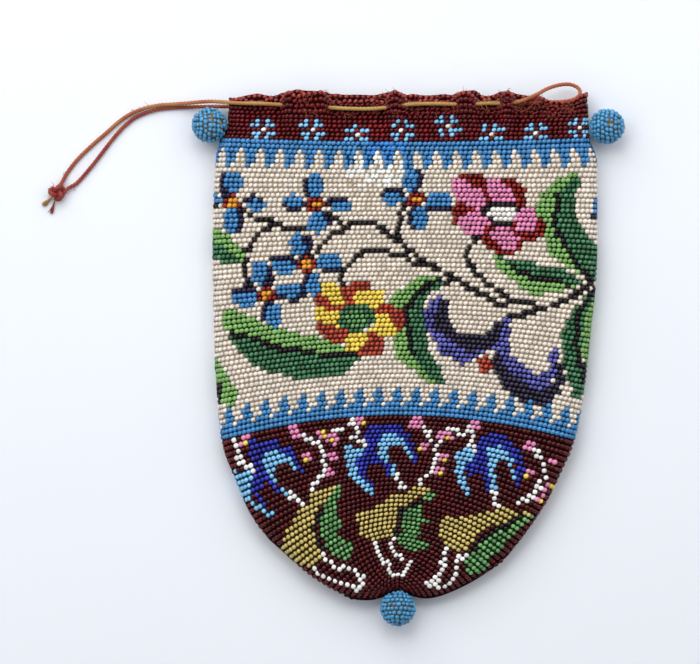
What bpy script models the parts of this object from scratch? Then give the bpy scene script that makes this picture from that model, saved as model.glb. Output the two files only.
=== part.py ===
"""A bead-crocheted drawstring bag, lying on its back with its mouth towards +Y.

The bag is one flattened tube of bead rounds, closed at its rounded bottom. A cord is woven through the
gathered collar, its two ends are knotted together, and a bead-covered ball hangs at each end of the collar
and at the bottom. Metres, +X to the right, +Y to the mouth, +Z up, with the table at z = 0.
"""

import math

import bmesh
import bpy
import numpy as np
from mathutils import Vector

millimetre = 0.001

# The pouch
bag_half_width = 0.0710  # at the belly
bag_height = 0.1857  # from the bottom fold to the rim
bag_bottom_y = -0.0889
bag_middle_x = -0.0012
bag_thickness = 0.0095  # two walls and the air between them
bag_wall = 0.0016  # one bead and its thread
fold_radius = bag_thickness / 2
fold_share_most = 0.45  # of half a round, where the rounds are short

# The rounds of beads: where the base, the floral band and the collar end along the middle
round_pitch = 0.0018
base_height = 0.0679
collar_height = 0.0170
base_bow = 0.0092  # how much higher the middle of the base's last round lies than its ends
collar_bow = -0.0015

# The gathered collar
gather_start = 0.0175  # below the rim
gather_full = 0.0070
front_low_height = 0.0077  # where the cord lies on the front
front_high_height = 0.0111  # where the cord runs inside
back_high_height = 0.0020  # where the cord lies under the back
eyelet_slope = 0.0022  # half the length of the wall's slope at an eyelet
gather_from_fold = 0.6  # fold radii in from the edge
rim_peak = 0.0019  # how far a gather stands above the rim

# The relief that stands for the beads
knob_columns = 46
knob_pitch = 0.0028
knob_height = 0.00035
back_columns = 24
fold_front_count = 3
fold_back_count = 2

# The air inside the bag
pocket_columns = 34
pocket_start = 1.6  # fold radii above the bottom
pocket_tip = 0.4  # fold radii below that
pocket_side_room = 0.0002

# The balls
ball_radius = 0.0065
ball_cover = 0.0015
ball_opening_radius = 0.0016
ball_seam_gap = 0.0003
left_ball_drop = 0.0103  # below the rim
right_ball_drop = 0.0107
bottom_ball_x = -0.0038
notch_depth = 0.0034
notch_width = 0.0046
notch_reach = 0.0110

# The cord
cord_diameter = 0.0014
cord_clearance = 0.0003
cord_points = 78
knot_size = 0.0076
knot_cord_radius = 0.0008
knot_height = 0.0044

# The chart that the pattern and the cord are drawn on: x to the right, y down
chart_unit = 0.00037
chart_middle_x = 408.3
chart_rim_y = 97.08

# Shares of the bag's height and half width along each side, from the bottom fold to the rim
RIGHT_SIDE = (
    (0.000, -0.037), (0.005, 0.130), (0.018, 0.239), (0.042, 0.365), (0.080, 0.506), (0.123, 0.610),
    (0.193, 0.735), (0.257, 0.818), (0.309, 0.876), (0.396, 0.923), (0.540, 0.969), (0.652, 0.996),
    (0.795, 1.000), (0.875, 0.996), (0.912, 0.963), (0.954, 0.954), (1.000, 0.948),
)
LEFT_SIDE = (
    (0.000, 0.037), (0.001, 0.208), (0.012, 0.339), (0.052, 0.511), (0.100, 0.641), (0.145, 0.761),
    (0.201, 0.844), (0.255, 0.901), (0.319, 0.954), (0.432, 0.980), (0.536, 0.993), (0.700, 1.000),
    (0.839, 0.990), (0.900, 0.972), (0.930, 0.930), (0.962, 0.917), (1.000, 0.913),
)

# Chart x of the eyelets, in pairs: the cord runs inside the wall from the first of a pair to the second
FRONT_EYELETS = ((283, 328), (387, 403), (457, 477), (500, 514), (539, 620))
BACK_EYELETS = ((180, 236), (283, 328), (386, 420), (470, 540), (620, 640))

# The cord: chart x and y, and height in millimetres, from the knot to the collar, along the front,
# round the slack loop, along the back and to the knot again
CORD_ROUTE = (
    (60.4, 182.6, 1.6), (64.5, 174.5, 0.8), (70.0, 166.5, 0.8), (77.0, 158.0, 0.8), (86.0, 149.0, 0.8),
    (95.0, 139.5, 0.8), (105.0, 129.5, 0.8), (115.0, 119.5, 0.8), (127.0, 110.5, 0.8), (142.0, 105.0, 0.8),
    (157.0, 102.6, 0.9), (172.0, 101.6, 1.6), (187.0, 101.0, 3.2), (200.0, 100.8, 5.4),
    (213.0, 101.2, 7.8), (226.0, 102.2, 9.5), (240.0, 103.2, 9.7), (262.0, 103.6, 9.2),
    (283.0, 104.8, 8.75), (305.0, 106.4, 8.45), (328.0, 107.4, 8.75), (345.0, 108.4, 9.15),
    (368.0, 108.8, 9.15), (387.0, 107.4, 9.0), (403.0, 104.8, 9.0), (430.0, 103.6, 9.15),
    (457.0, 104.2, 8.75), (467.0, 104.2, 8.5), (477.0, 103.8, 8.75), (489.0, 103.2, 9.1),
    (500.0, 103.2, 9.0), (514.0, 102.6, 9.3), (526.0, 99.2, 9.9), (537.6, 94.0, 9.6), (548.0, 88.4, 8.4),
    (560.0, 84.6, 6.6), (571.0, 84.0, 5.2), (579.0, 88.0, 5.6), (580.0, 94.6, 7.6), (573.0, 99.6, 9.4),
    (561.0, 101.8, 9.9), (549.0, 102.0, 9.5), (539.0, 102.2, 8.6), (527.0, 102.8, 7.0),
    (514.0, 103.6, 5.0), (500.0, 104.2, 3.4), (485.0, 104.6, 2.75), (470.0, 104.6, 1.9),
    (455.0, 104.6, 0.85), (436.0, 104.8, 0.85), (420.0, 105.0, 1.9), (403.0, 105.2, 2.62),
    (386.0, 105.4, 1.9), (370.0, 105.8, 0.85), (345.0, 106.2, 0.85), (328.0, 106.4, 1.9),
    (305.0, 106.4, 2.62), (283.0, 106.2, 1.9), (266.0, 106.0, 0.9), (252.0, 105.8, 0.9),
    (237.0, 105.8, 2.2), (222.0, 105.8, 3.2), (207.0, 105.8, 2.6), (190.0, 106.0, 1.2),
    (172.0, 106.8, 0.8), (157.0, 108.4, 0.8), (144.0, 112.6, 0.8), (132.0, 120.0, 0.8),
    (121.0, 130.0, 0.8), (110.0, 141.5, 0.8), (100.0, 153.5, 0.8), (91.0, 165.0, 0.8),
    (83.0, 174.5, 0.8), (75.0, 183.0, 0.8), (66.1, 188.4, 1.6),
)
KNOT_AT = (56.0, 192.0)
TAN_TAIL = ((49.8, 196.7, 1.2), (48.0, 198.8, 0.9), (45.4, 201.2, 0.7), (42.6, 203.8, 0.55))
RED_TAIL = ((53.2, 201.9, 1.2), (52.4, 205.0, 0.8), (51.6, 208.0, 0.7), (50.2, 211.4, 0.6))


def remove_everything():
    for thing in list(bpy.data.objects):
        bpy.data.objects.remove(thing)
    for group in list(bpy.data.collections):
        bpy.data.collections.remove(group)


remove_everything()
bag_parts = bpy.data.collections.new("beaded_drawstring_bag")
cutters = bpy.data.collections.new("cutters")
bpy.context.scene.collection.children.link(bag_parts)
bpy.context.scene.collection.children.link(cutters)


def linear(hex_colour):
    """A linear colour with alpha from a six-digit sRGB hex value."""
    shares = [int(hex_colour[i : i + 2], 16) / 255 for i in (0, 2, 4)]
    return [s / 12.92 if s <= 0.04045 else ((s + 0.055) / 1.055) ** 2.4 for s in shares] + [1.0]


def material(name, hex_colour, roughness):
    made = bpy.data.materials.new(name)
    made.use_nodes = True
    shader = made.node_tree.nodes["Principled BSDF"]
    shader.inputs["Base Color"].default_value = linear(hex_colour)
    shader.inputs["Roughness"].default_value = roughness
    shader.inputs["Metallic"].default_value = 0.0
    made.diffuse_color = linear(hex_colour)
    return made


# Bead colours, in the order of the body's material slots
BEAD_COLOURS = {
    "maroon": "4a0c12", "cream": "ead9c8", "blue": "3f86c4", "black": "1c1622", "light_green": "6aa84f",
    "dark_green": "1f5c3a", "pink": "d2689a", "dark_red": "6e1f1c", "yellow": "e8c431", "brick": "9c3a2c",
    "violet": "4a45a8", "sky": "7cc4ea", "royal": "3a3a9a", "ochre": "b59a3a", "white": "f6f4f0",
    "orange": "e09a30",
}
COLOUR_NAMES = list(BEAD_COLOURS)

# Where the collar meets the blue border, and where the blue zigzag meets the base, on the chart
COLLAR_EDGE = ((200, 137), (229, 137), (306, 139), (376, 142.5), (456, 143), (518, 146), (556, 146), (610, 140))
BASE_EDGE = ((205, 440), (222, 437), (300, 427), (360, 416), (430, 416), (470, 421), (495, 431), (532, 441),
             (557, 446), (590, 444))
border_solid = 12.0
border_tooth = 14.0
tooth_pitch = 19.0
first_tooth_x = 236.0

# The floral band and the base: (colour, kind, chart points); later shapes lie over earlier ones
PATTERN = (
    ("black", "line", ((312, 257), (330, 235), (354, 222), (371, 221), (400, 243), (436, 268), (462, 284),
                       (505, 307))),
    ("black", "line", ((405, 206), (401, 219), (400, 238))),
    ("black", "line", ((344, 288), (346, 268), (364, 252), (404, 256), (422, 267))),
    ("black", "line", ((238, 207), (261, 222), (307, 227), (341, 222), (330, 214))),
    ("black", "line", ((266, 228), (245, 255), (243, 272), (251, 283))),
    ("black", "line", ((478, 236), (468, 262), (513, 302), (548, 307), (592, 283))),
    ("blue", "oval", ((233, 182), (8, 11))), ("blue", "oval", ((256, 205), (9, 7))),
    ("blue", "oval", ((232, 221), (9, 12))), ("orange", "oval", ((232, 201), (6, 6))),
    ("blue", "oval", ((315, 184), (8, 12))), ("blue", "oval", ((293, 201), (12, 6))),
    ("blue", "oval", ((341, 207), (10, 6))), ("blue", "oval", ((317, 223), (10, 11))),
    ("orange", "oval", ((314, 204), (6, 6))),
    ("blue", "oval", ((410, 178), (8, 12))), ("blue", "oval", ((393, 199), (13, 6))),
    ("blue", "oval", ((440, 200), (13, 8))), ("blue", "oval", ((421, 218), (9, 12))),
    ("orange", "oval", ((415, 199), (6, 6))),
    ("blue", "oval", ((297, 244), (8, 11))), ("blue", "oval", ((281, 266), (13, 8))),
    ("blue", "oval", ((330, 262), (12, 8))), ("blue", "oval", ((312, 285), (8, 12))),
    ("orange", "oval", ((304, 264), (6, 6))),
    ("blue", "oval", ((259, 272), (9, 12))), ("blue", "oval", ((245, 298), (13, 8))),
    ("blue", "oval", ((290, 290), (12, 7))), ("blue", "oval", ((274, 316), (8, 12))),
    ("orange", "oval", ((266, 293), (6, 6))),
    ("dark_red", "oval", ((497, 215), (46, 39))),
    ("pink", "oval", ((469, 192), (15, 11))), ("pink", "oval", ((501, 191), (14, 13))),
    ("pink", "oval", ((474, 222), (15, 12))), ("pink", "oval", ((504, 239), (13, 12))),
    ("pink", "oval", ((527, 220), (12, 12))), ("black", "oval", ((498, 214), (19, 12))),
    ("white", "oval", ((502, 215), (13, 7))),
    ("brick", "oval", ((357, 318), (44, 38))),
    ("yellow", "oval", ((332, 294), (11, 12))), ("yellow", "oval", ((369, 300), (14, 9))),
    ("yellow", "oval", ((384, 325), (12, 10))), ("yellow", "oval", ((356, 342), (11, 10))),
    ("yellow", "oval", ((330, 318), (13, 8))), ("light_green", "oval", ((357, 318), (17, 13))),
    ("light_green", "area", ((541, 195), (560, 172), (577, 174), (575, 214), (586, 279), (570, 268),
                             (548, 251), (536, 210))),
    ("dark_green", "area", ((560, 190), (578, 174), (575, 214), (590, 236), (598, 285), (570, 255), (556, 225))),
    ("light_green", "area", ((491, 254), (514, 266), (555, 276), (556, 293), (532, 293), (509, 278))),
    ("dark_green", "area", ((494, 255), (526, 258), (551, 266), (581, 283), (555, 281), (514, 270))),
    ("light_green", "area", ((224, 310), (251, 318), (292, 332), (351, 354), (302, 352), (230, 334))),
    ("dark_green", "area", ((227, 332), (261, 342), (302, 351), (359, 357), (326, 376), (276, 372), (246, 357))),
    ("light_green", "area", ((436, 278), (395, 294), (391, 301), (398, 358), (438, 385), (409, 336),
                             (410, 300))),
    ("dark_green", "area", ((442, 282), (424, 300), (427, 347), (443, 385), (412, 352), (408, 306))),
    ("light_green", "area", ((212, 228), (222, 230), (244, 262), (222, 262), (212, 246))),
    ("light_green", "area", ((214, 356), (224, 370), (239, 400), (231, 407), (214, 400))),
    ("dark_green", "area", ((592, 288), (569, 317), (562, 352), (574, 400), (583, 380), (591, 310))),
    ("violet", "area", ((437, 298), (425, 308), (433, 339), (460, 365), (483, 354), (502, 330), (510, 350),
                        (500, 360), (527, 364), (548, 368), (557, 346), (566, 360), (556, 398), (535, 407),
                        (507, 393), (490, 352), (473, 343), (447, 313))),
    ("black", "line", ((446, 306), (453, 326), (473, 341), (502, 321))),
    ("black", "line", ((494, 360), (507, 390), (541, 405), (560, 380))),
    ("royal", "area", ((242, 440), (262, 446), (292, 440), (300, 452), (285, 470), (262, 512), (246, 500),
                       (252, 472), (232, 470))),
    ("sky", "line", ((240, 462), (262, 458), (272, 480), (264, 500))),
    ("royal", "area", ((352, 440), (372, 426), (404, 427), (418, 460), (392, 444), (392, 472), (358, 492),
                       (366, 458), (346, 452))),
    ("sky", "line", ((350, 456), (366, 448), (382, 446), (384, 470))),
    ("royal", "area", ((458, 444), (484, 434), (512, 438), (528, 460), (504, 456), (504, 486), (470, 508),
                       (476, 472), (454, 466))),
    ("sky", "line", ((462, 462), (480, 452), (494, 456), (492, 482))),
    ("ochre", "area", ((283, 532), (312, 498), (340, 488), (330, 520), (322, 566), (300, 570), (286, 556))),
    ("dark_green", "area", ((322, 500), (346, 496), (356, 530), (346, 560), (328, 552), (336, 520))),
    ("ochre", "area", ((353, 516), (390, 496), (428, 491), (412, 506), (395, 537), (368, 540))),
    ("dark_green", "area", ((402, 516), (424, 490), (440, 492), (432, 524), (428, 552), (403, 552))),
    ("ochre", "area", ((438, 520), (480, 512), (512, 500), (508, 530), (460, 553), (442, 545))),
    ("dark_green", "area", ((476, 540), (508, 514), (535, 513), (512, 560), (480, 577), (464, 556))),
    ("white", "line", ((376, 543), (384, 565), (398, 576), (409, 562))),
    ("white", "line", ((394, 540), (394, 556), (402, 558))),
    ("white", "line", ((324, 556), (350, 574), (362, 590))),
    ("white", "line", ((450, 552), (444, 572), (428, 583), (448, 588), (456, 562))),
    ("white", "line", ((357, 430), (366, 446))), ("white", "line", ((424, 427), (437, 445), (434, 470))),
)
stem_half_width = 2.8
flower_reach = 12.0
flower_centre = 3.0
flower_gap = 2.0  # the bare cross between a collar flower's four clusters
COLLAR_FLOWERS = ((265, 129), (311, 129), (358, 133), (402, 129), (448, 128), (492, 132), (533, 134), (578, 129))


def inside(corners, x, y):
    """Which of the points lie inside the closed outline."""
    found = np.zeros(len(x), bool)
    for (x0, y0), (x1, y1) in zip(corners, corners[1:] + corners[:1]):
        if y0 != y1:
            crosses = (y0 > y) != (y1 > y)
            found ^= crosses & (x < (x1 - x0) * (y - y0) / (y1 - y0) + x0)
    return found


def distance(line, x, y):
    """How far each point lies from a line of chart points."""
    nearest = np.full(len(x), np.inf)
    for (x0, y0), (x1, y1) in zip(line, line[1:]):
        way = np.array([x1 - x0, y1 - y0])
        along = ((x - x0) * way[0] + (y - y0) * way[1]) / max(way @ way, 1e-12)
        along = np.clip(along, 0, 1)
        nearest = np.minimum(nearest, np.hypot(x - x0 - along * way[0], y - y0 - along * way[1]))
    return nearest


def bead_colours(x, y):
    """The colour number of each chart point."""
    number = {name: i for i, name in enumerate(COLOUR_NAMES)}
    colours = np.full(len(x), number["cream"])
    for colour, kind, points in PATTERN:
        if kind == "oval":
            (cx, cy), (rx, ry) = points
            found = ((x - cx) / rx) ** 2 + ((y - cy) / ry) ** 2 < 1
        elif kind == "line":
            found = distance(points, x, y) < stem_half_width
        else:
            found = inside(points, x, y)
        colours[found] = number[colour]
    tooth = np.abs((x - first_tooth_x) / tooth_pitch % 1 - 0.5) * 2
    below_collar = y - np.interp(x, *zip(*COLLAR_EDGE))
    above_base = np.interp(x, *zip(*BASE_EDGE)) - y
    colours[below_collar < border_solid + border_tooth * tooth] = number["blue"]
    colours[below_collar < 0] = number["maroon"]
    for cx, cy in COLLAR_FLOWERS:
        from_centre = np.hypot(x - cx, y - cy)
        diagonal = np.minimum(np.abs(x - cx), np.abs(y - cy)) > flower_gap
        colours[(from_centre < flower_reach) & diagonal] = number["sky"]
        colours[from_centre < flower_centre] = number["white"]
    border = (above_base > 0) & (above_base < border_solid + border_tooth * tooth)
    colours[border] = number["blue"]
    in_base = (above_base <= 0) & (colours == number["cream"])
    colours[in_base] = number["maroon"]
    return colours


def smooth_line(points, count):
    """count points, evenly spaced along a smooth curve through the given points."""
    p = np.array(points, float)
    ends = np.vstack([2 * p[0] - p[1], p, 2 * p[-1] - p[-2]])
    share = np.linspace(0, 1, 12, endpoint=False)[:, None]
    found = []
    for a, b, c, d in zip(ends, ends[1:], ends[2:], ends[3:]):
        found.append(
            0.5 * (2 * b + (c - a) * share + (2 * a - 5 * b + 4 * c - d) * share**2
                   + (3 * b - a - 3 * c + d) * share**3)
        )
    fine = np.vstack([*found, p[-1:]])
    run = np.concatenate([[0], np.cumsum(np.linalg.norm(np.diff(fine, axis=0), axis=1))])
    at = np.linspace(0, run[-1], count)
    return np.column_stack([np.interp(at, run, fine[:, k]) for k in range(p.shape[1])])


def side(shares, sign):
    """A side of the bag's outline as a fine line, from the bottom to the rim, before the notch."""
    points = [
        (bag_middle_x + sign * across * bag_half_width, bag_bottom_y + up * bag_height)
        for up, across in shares
    ]
    return smooth_line(points, 400)


rim_y = bag_bottom_y + bag_height
left_side = side(LEFT_SIDE, -1)
right_side = side(RIGHT_SIDE, 1)


def chart_x(x):
    return x / chart_unit + chart_middle_x


def chart_y(y):
    return chart_rim_y + (rim_y - y) / chart_unit


def cord_inside(x, eyelets):
    """1 where the cord runs inside the wall, 0 where it lies outside, with a slope at each eyelet."""
    slope = eyelet_slope / chart_unit
    found = np.zeros(len(x))
    for start, stop in eyelets:
        rise = np.clip((chart_x(x) - start + slope) / (2 * slope), 0, 1)
        fall = np.clip((stop + slope - chart_x(x)) / (2 * slope), 0, 1)
        found = np.maximum(found, np.minimum(rise, fall))
    return found**2 * (3 - 2 * found)


def drawn_in(points):
    """Plan points after the bottom ball's stitches and the cord have drawn the fabric together."""
    moved = np.array(points, float)
    near_rim = np.clip((moved[:, 1] - rim_y) / gather_full + 1, 0, 1)
    across = np.exp(-(((moved[:, 0] - bottom_ball_x) / notch_width) ** 2) / 2)
    up = np.exp(-((moved[:, 1] - bag_bottom_y) / notch_reach))
    moved[:, 1] += notch_depth * across * np.clip(up, 0, 1)
    moved[:, 1] += rim_peak * near_rim * cord_inside(moved[:, 0], FRONT_EYELETS)
    return moved


outline = drawn_in(np.vstack([left_side[::-1], right_side[1:]]))


def run_along(line):
    return np.concatenate([[0], np.cumsum(np.linalg.norm(np.diff(line, axis=0), axis=1))])


left_run = run_along(left_side)
right_run = run_along(right_side)
base_end_y = bag_bottom_y + base_height
collar_start_y = rim_y - collar_height


def ends_of_round(middle_y):
    """The left end, the right end and the middle height of the round that passes here."""
    ends = []
    for line, run in ((left_side, left_run), (right_side, right_run)):
        base_run = np.interp(base_end_y - base_bow, line[:, 1], run)
        collar_run = np.interp(collar_start_y - collar_bow, line[:, 1], run)
        at = np.interp(
            middle_y, (bag_bottom_y, base_end_y, collar_start_y, rim_y), (0, base_run, collar_run, run[-1])
        )
        ends.append(np.array([np.interp(at, run, line[:, 0]), np.interp(at, run, line[:, 1])]))
    return ends


def along_round(middle_y, across):
    """Plan points of a round at shares from -1 at its left end to 1 at its right end."""
    left, right = ends_of_round(middle_y)
    x = (left[0] + right[0]) / 2 + (right[0] - left[0]) / 2 * across
    ends_y = (left[1] + right[1]) / 2
    y = middle_y + (right[1] - left[1]) / 2 * across + (ends_y - middle_y) * across**2
    return drawn_in(np.column_stack([x, y]))


def to_outline(points):
    """Each plan point's distance from the outline and the way outwards to it."""
    gaps = points[:, None, :] - outline[None, :, :]
    lengths = np.hypot(gaps[:, :, 0], gaps[:, :, 1])
    nearest = lengths.argmin(axis=1)
    found = lengths[np.arange(len(points)), nearest]
    tangents = np.gradient(outline, axis=0)[nearest]
    outwards = np.column_stack([tangents[:, 1], -tangents[:, 0]])
    return found, outwards / np.linalg.norm(outwards, axis=1)[:, None]


def walls(points, inset):
    """The heights of the front and the back at plan points, moved inwards by inset."""
    gap, _ = to_outline(points)
    into_fold = np.clip(gap - inset, 0, fold_radius - inset)
    radius = fold_radius - inset
    rise = np.sqrt(np.maximum(radius**2 - (radius - into_fold) ** 2, 0))
    front = fold_radius + rise
    back = fold_radius - rise
    below_rim = rim_y - points[:, 1]
    gathered = np.clip((gather_start - below_rim) / (gather_start - gather_full), 0, 1)
    gathered = gathered**2 * (3 - 2 * gathered) * np.clip(gap / fold_radius - gather_from_fold, 0, 1)
    front_inside = cord_inside(points[:, 0], FRONT_EYELETS)
    front_height = front_low_height + (front_high_height - front_low_height) * front_inside
    back_height = back_high_height * (1 - cord_inside(points[:, 0], BACK_EYELETS))
    front += gathered * (front_height - bag_thickness)
    back += gathered * back_height
    return front, back


def ring_shares(middle_y, columns, steps):
    """Shares along a round: the fold's steps at each end and even columns between them."""
    left, right = ends_of_round(middle_y)
    half = (right[0] - left[0]) / 2
    fold = min(fold_radius, half * fold_share_most) / half
    turn = np.linspace(0, math.pi / 2, round(steps) + 1)[:-1]
    ends = fold * (1 - np.cos(turn))
    return np.concatenate([ends - 1, np.linspace(fold - 1, 1 - fold, round(columns) + 1), 1 - ends[::-1]])


def loft(rings, tip, name, colour_of):
    """One closed body from closed rings of points; the last ring is capped and the first meets the tip."""
    mesh = bmesh.new()
    tip_point = mesh.verts.new(tip)
    rows = [[mesh.verts.new(p) for p in ring] for ring in rings]
    first = rows[0]
    for i, vert in enumerate(first):
        mesh.faces.new((tip_point, vert, first[(i + 1) % len(first)]))
    for j, (low, high) in enumerate(zip(rows, rows[1:])):
        for i in range(len(low)):
            a, b = low[i], low[(i + 1) % len(low)]
            c, d = high[(i + 1) % len(high)], high[i]
            if (i + j) % 2 == 0:
                mesh.faces.new((a, c, b))
                mesh.faces.new((a, d, c))
            else:
                mesh.faces.new((a, d, b))
                mesh.faces.new((b, d, c))
    mesh.faces.new(rows[-1])
    bmesh.ops.recalc_face_normals(mesh, faces=mesh.faces)
    data = bpy.data.meshes.new(name)
    mesh.to_mesh(data)
    mesh.free()
    made = bpy.data.objects.new(name, data)
    for colour in COLOUR_NAMES if colour_of else ():
        made.data.materials.append(bead_materials[colour])
    if colour_of:
        centres = np.array([face.center for face in data.polygons])
        data.polygons.foreach_set("material_index", colour_of(centres).astype(np.int32))
    return made


bead_materials = {name: material(f"{name}_glass_beads", colour, 0.3) for name, colour in BEAD_COLOURS.items()}


def body_colours(centres):
    return bead_colours(chart_x(centres[:, 0]), chart_y(centres[:, 1]))


def body_ring(middle_y, row):
    """The closed ring of a round: the front from left to right, then the back from right to left."""
    front_shares = ring_shares(middle_y, knob_columns, fold_front_count)
    front = along_round(middle_y, front_shares)
    top, _ = walls(front, 0)
    gap, outwards = to_outline(front)
    lean = np.clip(1 - gap / fold_radius, 0, 1)
    raised = (np.arange(len(front)) + row) % 2 * knob_height
    plan = front + outwards * (raised * lean)[:, None]
    top = top + raised * np.sqrt(1 - lean**2)
    ring = list(np.column_stack([plan, top]))
    back_shares = ring_shares(middle_y, back_columns, fold_back_count)[1:-1][::-1]
    back = along_round(middle_y, back_shares)
    _, bottom = walls(back, 0)
    return ring + list(np.column_stack([back, bottom]))


first_round_y = bag_bottom_y + round_pitch
body_rows = round((rim_y - first_round_y) / knob_pitch)


def bag_body():
    heights = np.linspace(first_round_y, rim_y, body_rows + 1)
    rings = [body_ring(y, row) for row, y in enumerate(heights)]
    tip = drawn_in(left_side[:1])[0]
    body = loft(rings, (*tip, fold_radius), "bag_body", body_colours)
    bag_parts.objects.link(body)
    cut(body, pocket_cutter())
    cut(body, eyelet_cutter())
    return body


def pocket_cutter():
    """The air inside the bag, open at the mouth."""
    low = bag_bottom_y + fold_radius * pocket_start
    heights = [*np.linspace(low, rim_y - gather_start, 9), *np.linspace(rim_y - gather_start, rim_y, 7)[1:]]
    heights.append(rim_y + bag_wall)
    rings = []
    for y in heights:
        shares = ring_shares(min(y, rim_y), pocket_columns, fold_back_count)
        left, right = ends_of_round(min(y, rim_y))
        inner = 1 - (bag_wall + pocket_side_room) / ((right[0] - left[0]) / 2)
        front = along_round(min(y, rim_y), shares * inner)
        back = along_round(min(y, rim_y), shares[1:-1][::-1] * inner)
        top, _ = walls(front, bag_wall)
        _, bottom = walls(back, bag_wall)
        gathered_top = np.minimum(top, walls(front, 0)[0] - bag_wall)
        gathered_bottom = np.maximum(bottom, walls(back, 0)[1] + bag_wall)
        front[:, 1] += y - min(y, rim_y)
        back[:, 1] += y - min(y, rim_y)
        rings.append([*np.column_stack([front, gathered_top]), *np.column_stack([back, gathered_bottom])])
    tip = (bottom_ball_x, low - fold_radius * pocket_tip, fold_radius)
    return cutter(loft(rings, tip, "pocket_cutter", None))


def cutter(made):
    cutters.objects.link(made)
    made.hide_render = True
    made.display_type = "WIRE"
    return made


def cut(made, tool):
    boolean = made.modifiers.new(tool.name, "BOOLEAN")
    boolean.operation = "DIFFERENCE"
    boolean.solver = "EXACT"
    boolean.object = tool


def chart_point(x, y, height):
    return ((x - chart_middle_x) * chart_unit, rim_y - (y - chart_rim_y) * chart_unit, height * millimetre)


def tube(name, points, radius, tapers=None, cyclic=False):
    """A round cord along points, as a mesh with welded caps."""
    curve = bpy.data.curves.new(name, "CURVE")
    curve.dimensions = "3D"
    curve.bevel_depth = radius
    curve.bevel_resolution = 2
    curve.use_fill_caps = True
    spline = curve.splines.new("POLY")
    spline.points.add(len(points) - 1)
    spline.use_cyclic_u = cyclic
    for i, (point, place) in enumerate(zip(spline.points, points)):
        point.co = (*place, 1)
        point.radius = tapers[i] if tapers else 1
    laid = bpy.data.objects.new(name + "_curve", curve)
    bpy.context.scene.collection.objects.link(laid)
    bpy.context.view_layer.update()
    data = bpy.data.meshes.new_from_object(laid.evaluated_get(bpy.context.evaluated_depsgraph_get()))
    mesh = bmesh.new()
    mesh.from_mesh(data)
    bmesh.ops.remove_doubles(mesh, verts=mesh.verts, dist=1e-6)
    bmesh.ops.recalc_face_normals(mesh, faces=mesh.faces)
    mesh.to_mesh(data)
    mesh.free()
    made = bpy.data.objects.new(name, data)
    made.matrix_world = laid.matrix_world
    bpy.data.objects.remove(laid)
    return made


cord_line = smooth_line([chart_point(*p) for p in CORD_ROUTE], cord_points)


def eyelet_cutter():
    """The holes that the cord runs through, wherever its route meets the fabric."""
    return cutter(tube("eyelet_cutter", cord_line, cord_diameter / 2 + cord_clearance))


def drawstring():
    made = tube("drawstring", cord_line, cord_diameter / 2)
    made.data.materials.append(material("twisted_tan_cord", "9a6238", 0.8))
    made.data.shade_smooth()
    bag_parts.objects.link(made)


def drawstring_knot():
    """The two ends tied together: a tightened overhand knot, drawn as its three-lobed line."""
    lobe = (knot_size / 2 - knot_cord_radius) / 3
    height = knot_height / 2 - knot_cord_radius
    turn_to_strands = math.radians(15)
    points = []
    for t in np.linspace(0, math.tau, 40, endpoint=False):
        flat = Vector((math.sin(t) + 2 * math.sin(2 * t), math.cos(t) - 2 * math.cos(2 * t)))
        angle = math.atan2(flat.y, flat.x) + turn_to_strands
        reach = flat.length * lobe
        place = chart_point(*KNOT_AT, 0)
        points.append(
            (place[0] + reach * math.cos(angle), place[1] + reach * math.sin(angle),
             knot_height / 2 + 0.0001 - height * math.sin(3 * t))
        )
    made = tube("drawstring_knot", points, knot_cord_radius, cyclic=True)
    made.data.materials.append(material("dark_red_cord", "8e2a2a", 0.8))
    made.data.shade_smooth()
    bag_parts.objects.link(made)


def tail(name, route, colour):
    points = smooth_line([chart_point(*p) for p in route], 8)
    tapers = list(np.linspace(1, 0.55, 8))
    made = tube(name, points, cord_diameter / 2, tapers)
    made.data.materials.append(material(name + "_thread", colour, 0.9))
    made.data.shade_smooth()
    bag_parts.objects.link(made)


def edge_x(line, y):
    """Where the bag's edge lies at a height along its side."""
    return float(np.interp(y, line[:, 1], line[:, 0]))


def beaded_ball(name, centre, towards_bag):
    """A beaded cover, open where it is sewn on, over a round core."""
    segments = 20
    rings = 12
    mesh = bmesh.new()
    bmesh.ops.create_uvsphere(mesh, u_segments=segments, v_segments=rings, radius=ball_radius)
    for vert in mesh.verts:
        turn = round(math.atan2(vert.co.y, vert.co.x) / math.tau * segments)
        level = round(math.asin(max(-1, min(1, vert.co.z / ball_radius))) / math.pi * rings)
        if (turn + level) % 2 and abs(vert.co.z) < ball_radius * 0.99:
            vert.co *= 1 - knob_height / ball_radius
    cover = add_mesh(name + "_beads", mesh, centre, towards_bag)
    cover.data.materials.append(ball_glass)
    cut(cover, ball_hollow(name, centre, towards_bag))
    cut(cover, ball_mouth(name, centre, towards_bag))
    bag_parts.objects.link(cover)
    mesh = bmesh.new()
    core_radius = ball_radius - ball_cover - cord_clearance
    bmesh.ops.create_uvsphere(mesh, u_segments=14, v_segments=9, radius=core_radius)
    core = add_mesh(name + "_core", mesh, centre, towards_bag)
    core.data.materials.append(wound_thread)
    core.data.shade_smooth()
    bag_parts.objects.link(core)


def add_mesh(name, mesh, centre, towards):
    data = bpy.data.meshes.new(name)
    mesh.to_mesh(data)
    mesh.free()
    made = bpy.data.objects.new(name, data)
    made.location = centre
    made.rotation_mode = "QUATERNION"
    made.rotation_quaternion = Vector(towards).to_track_quat("Z", "Y")
    return made


def ball_hollow(name, centre, towards):
    mesh = bmesh.new()
    bmesh.ops.create_uvsphere(mesh, u_segments=14, v_segments=9, radius=ball_radius - ball_cover)
    return cutter(add_mesh(name + "_hollow", mesh, centre, towards))


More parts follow.
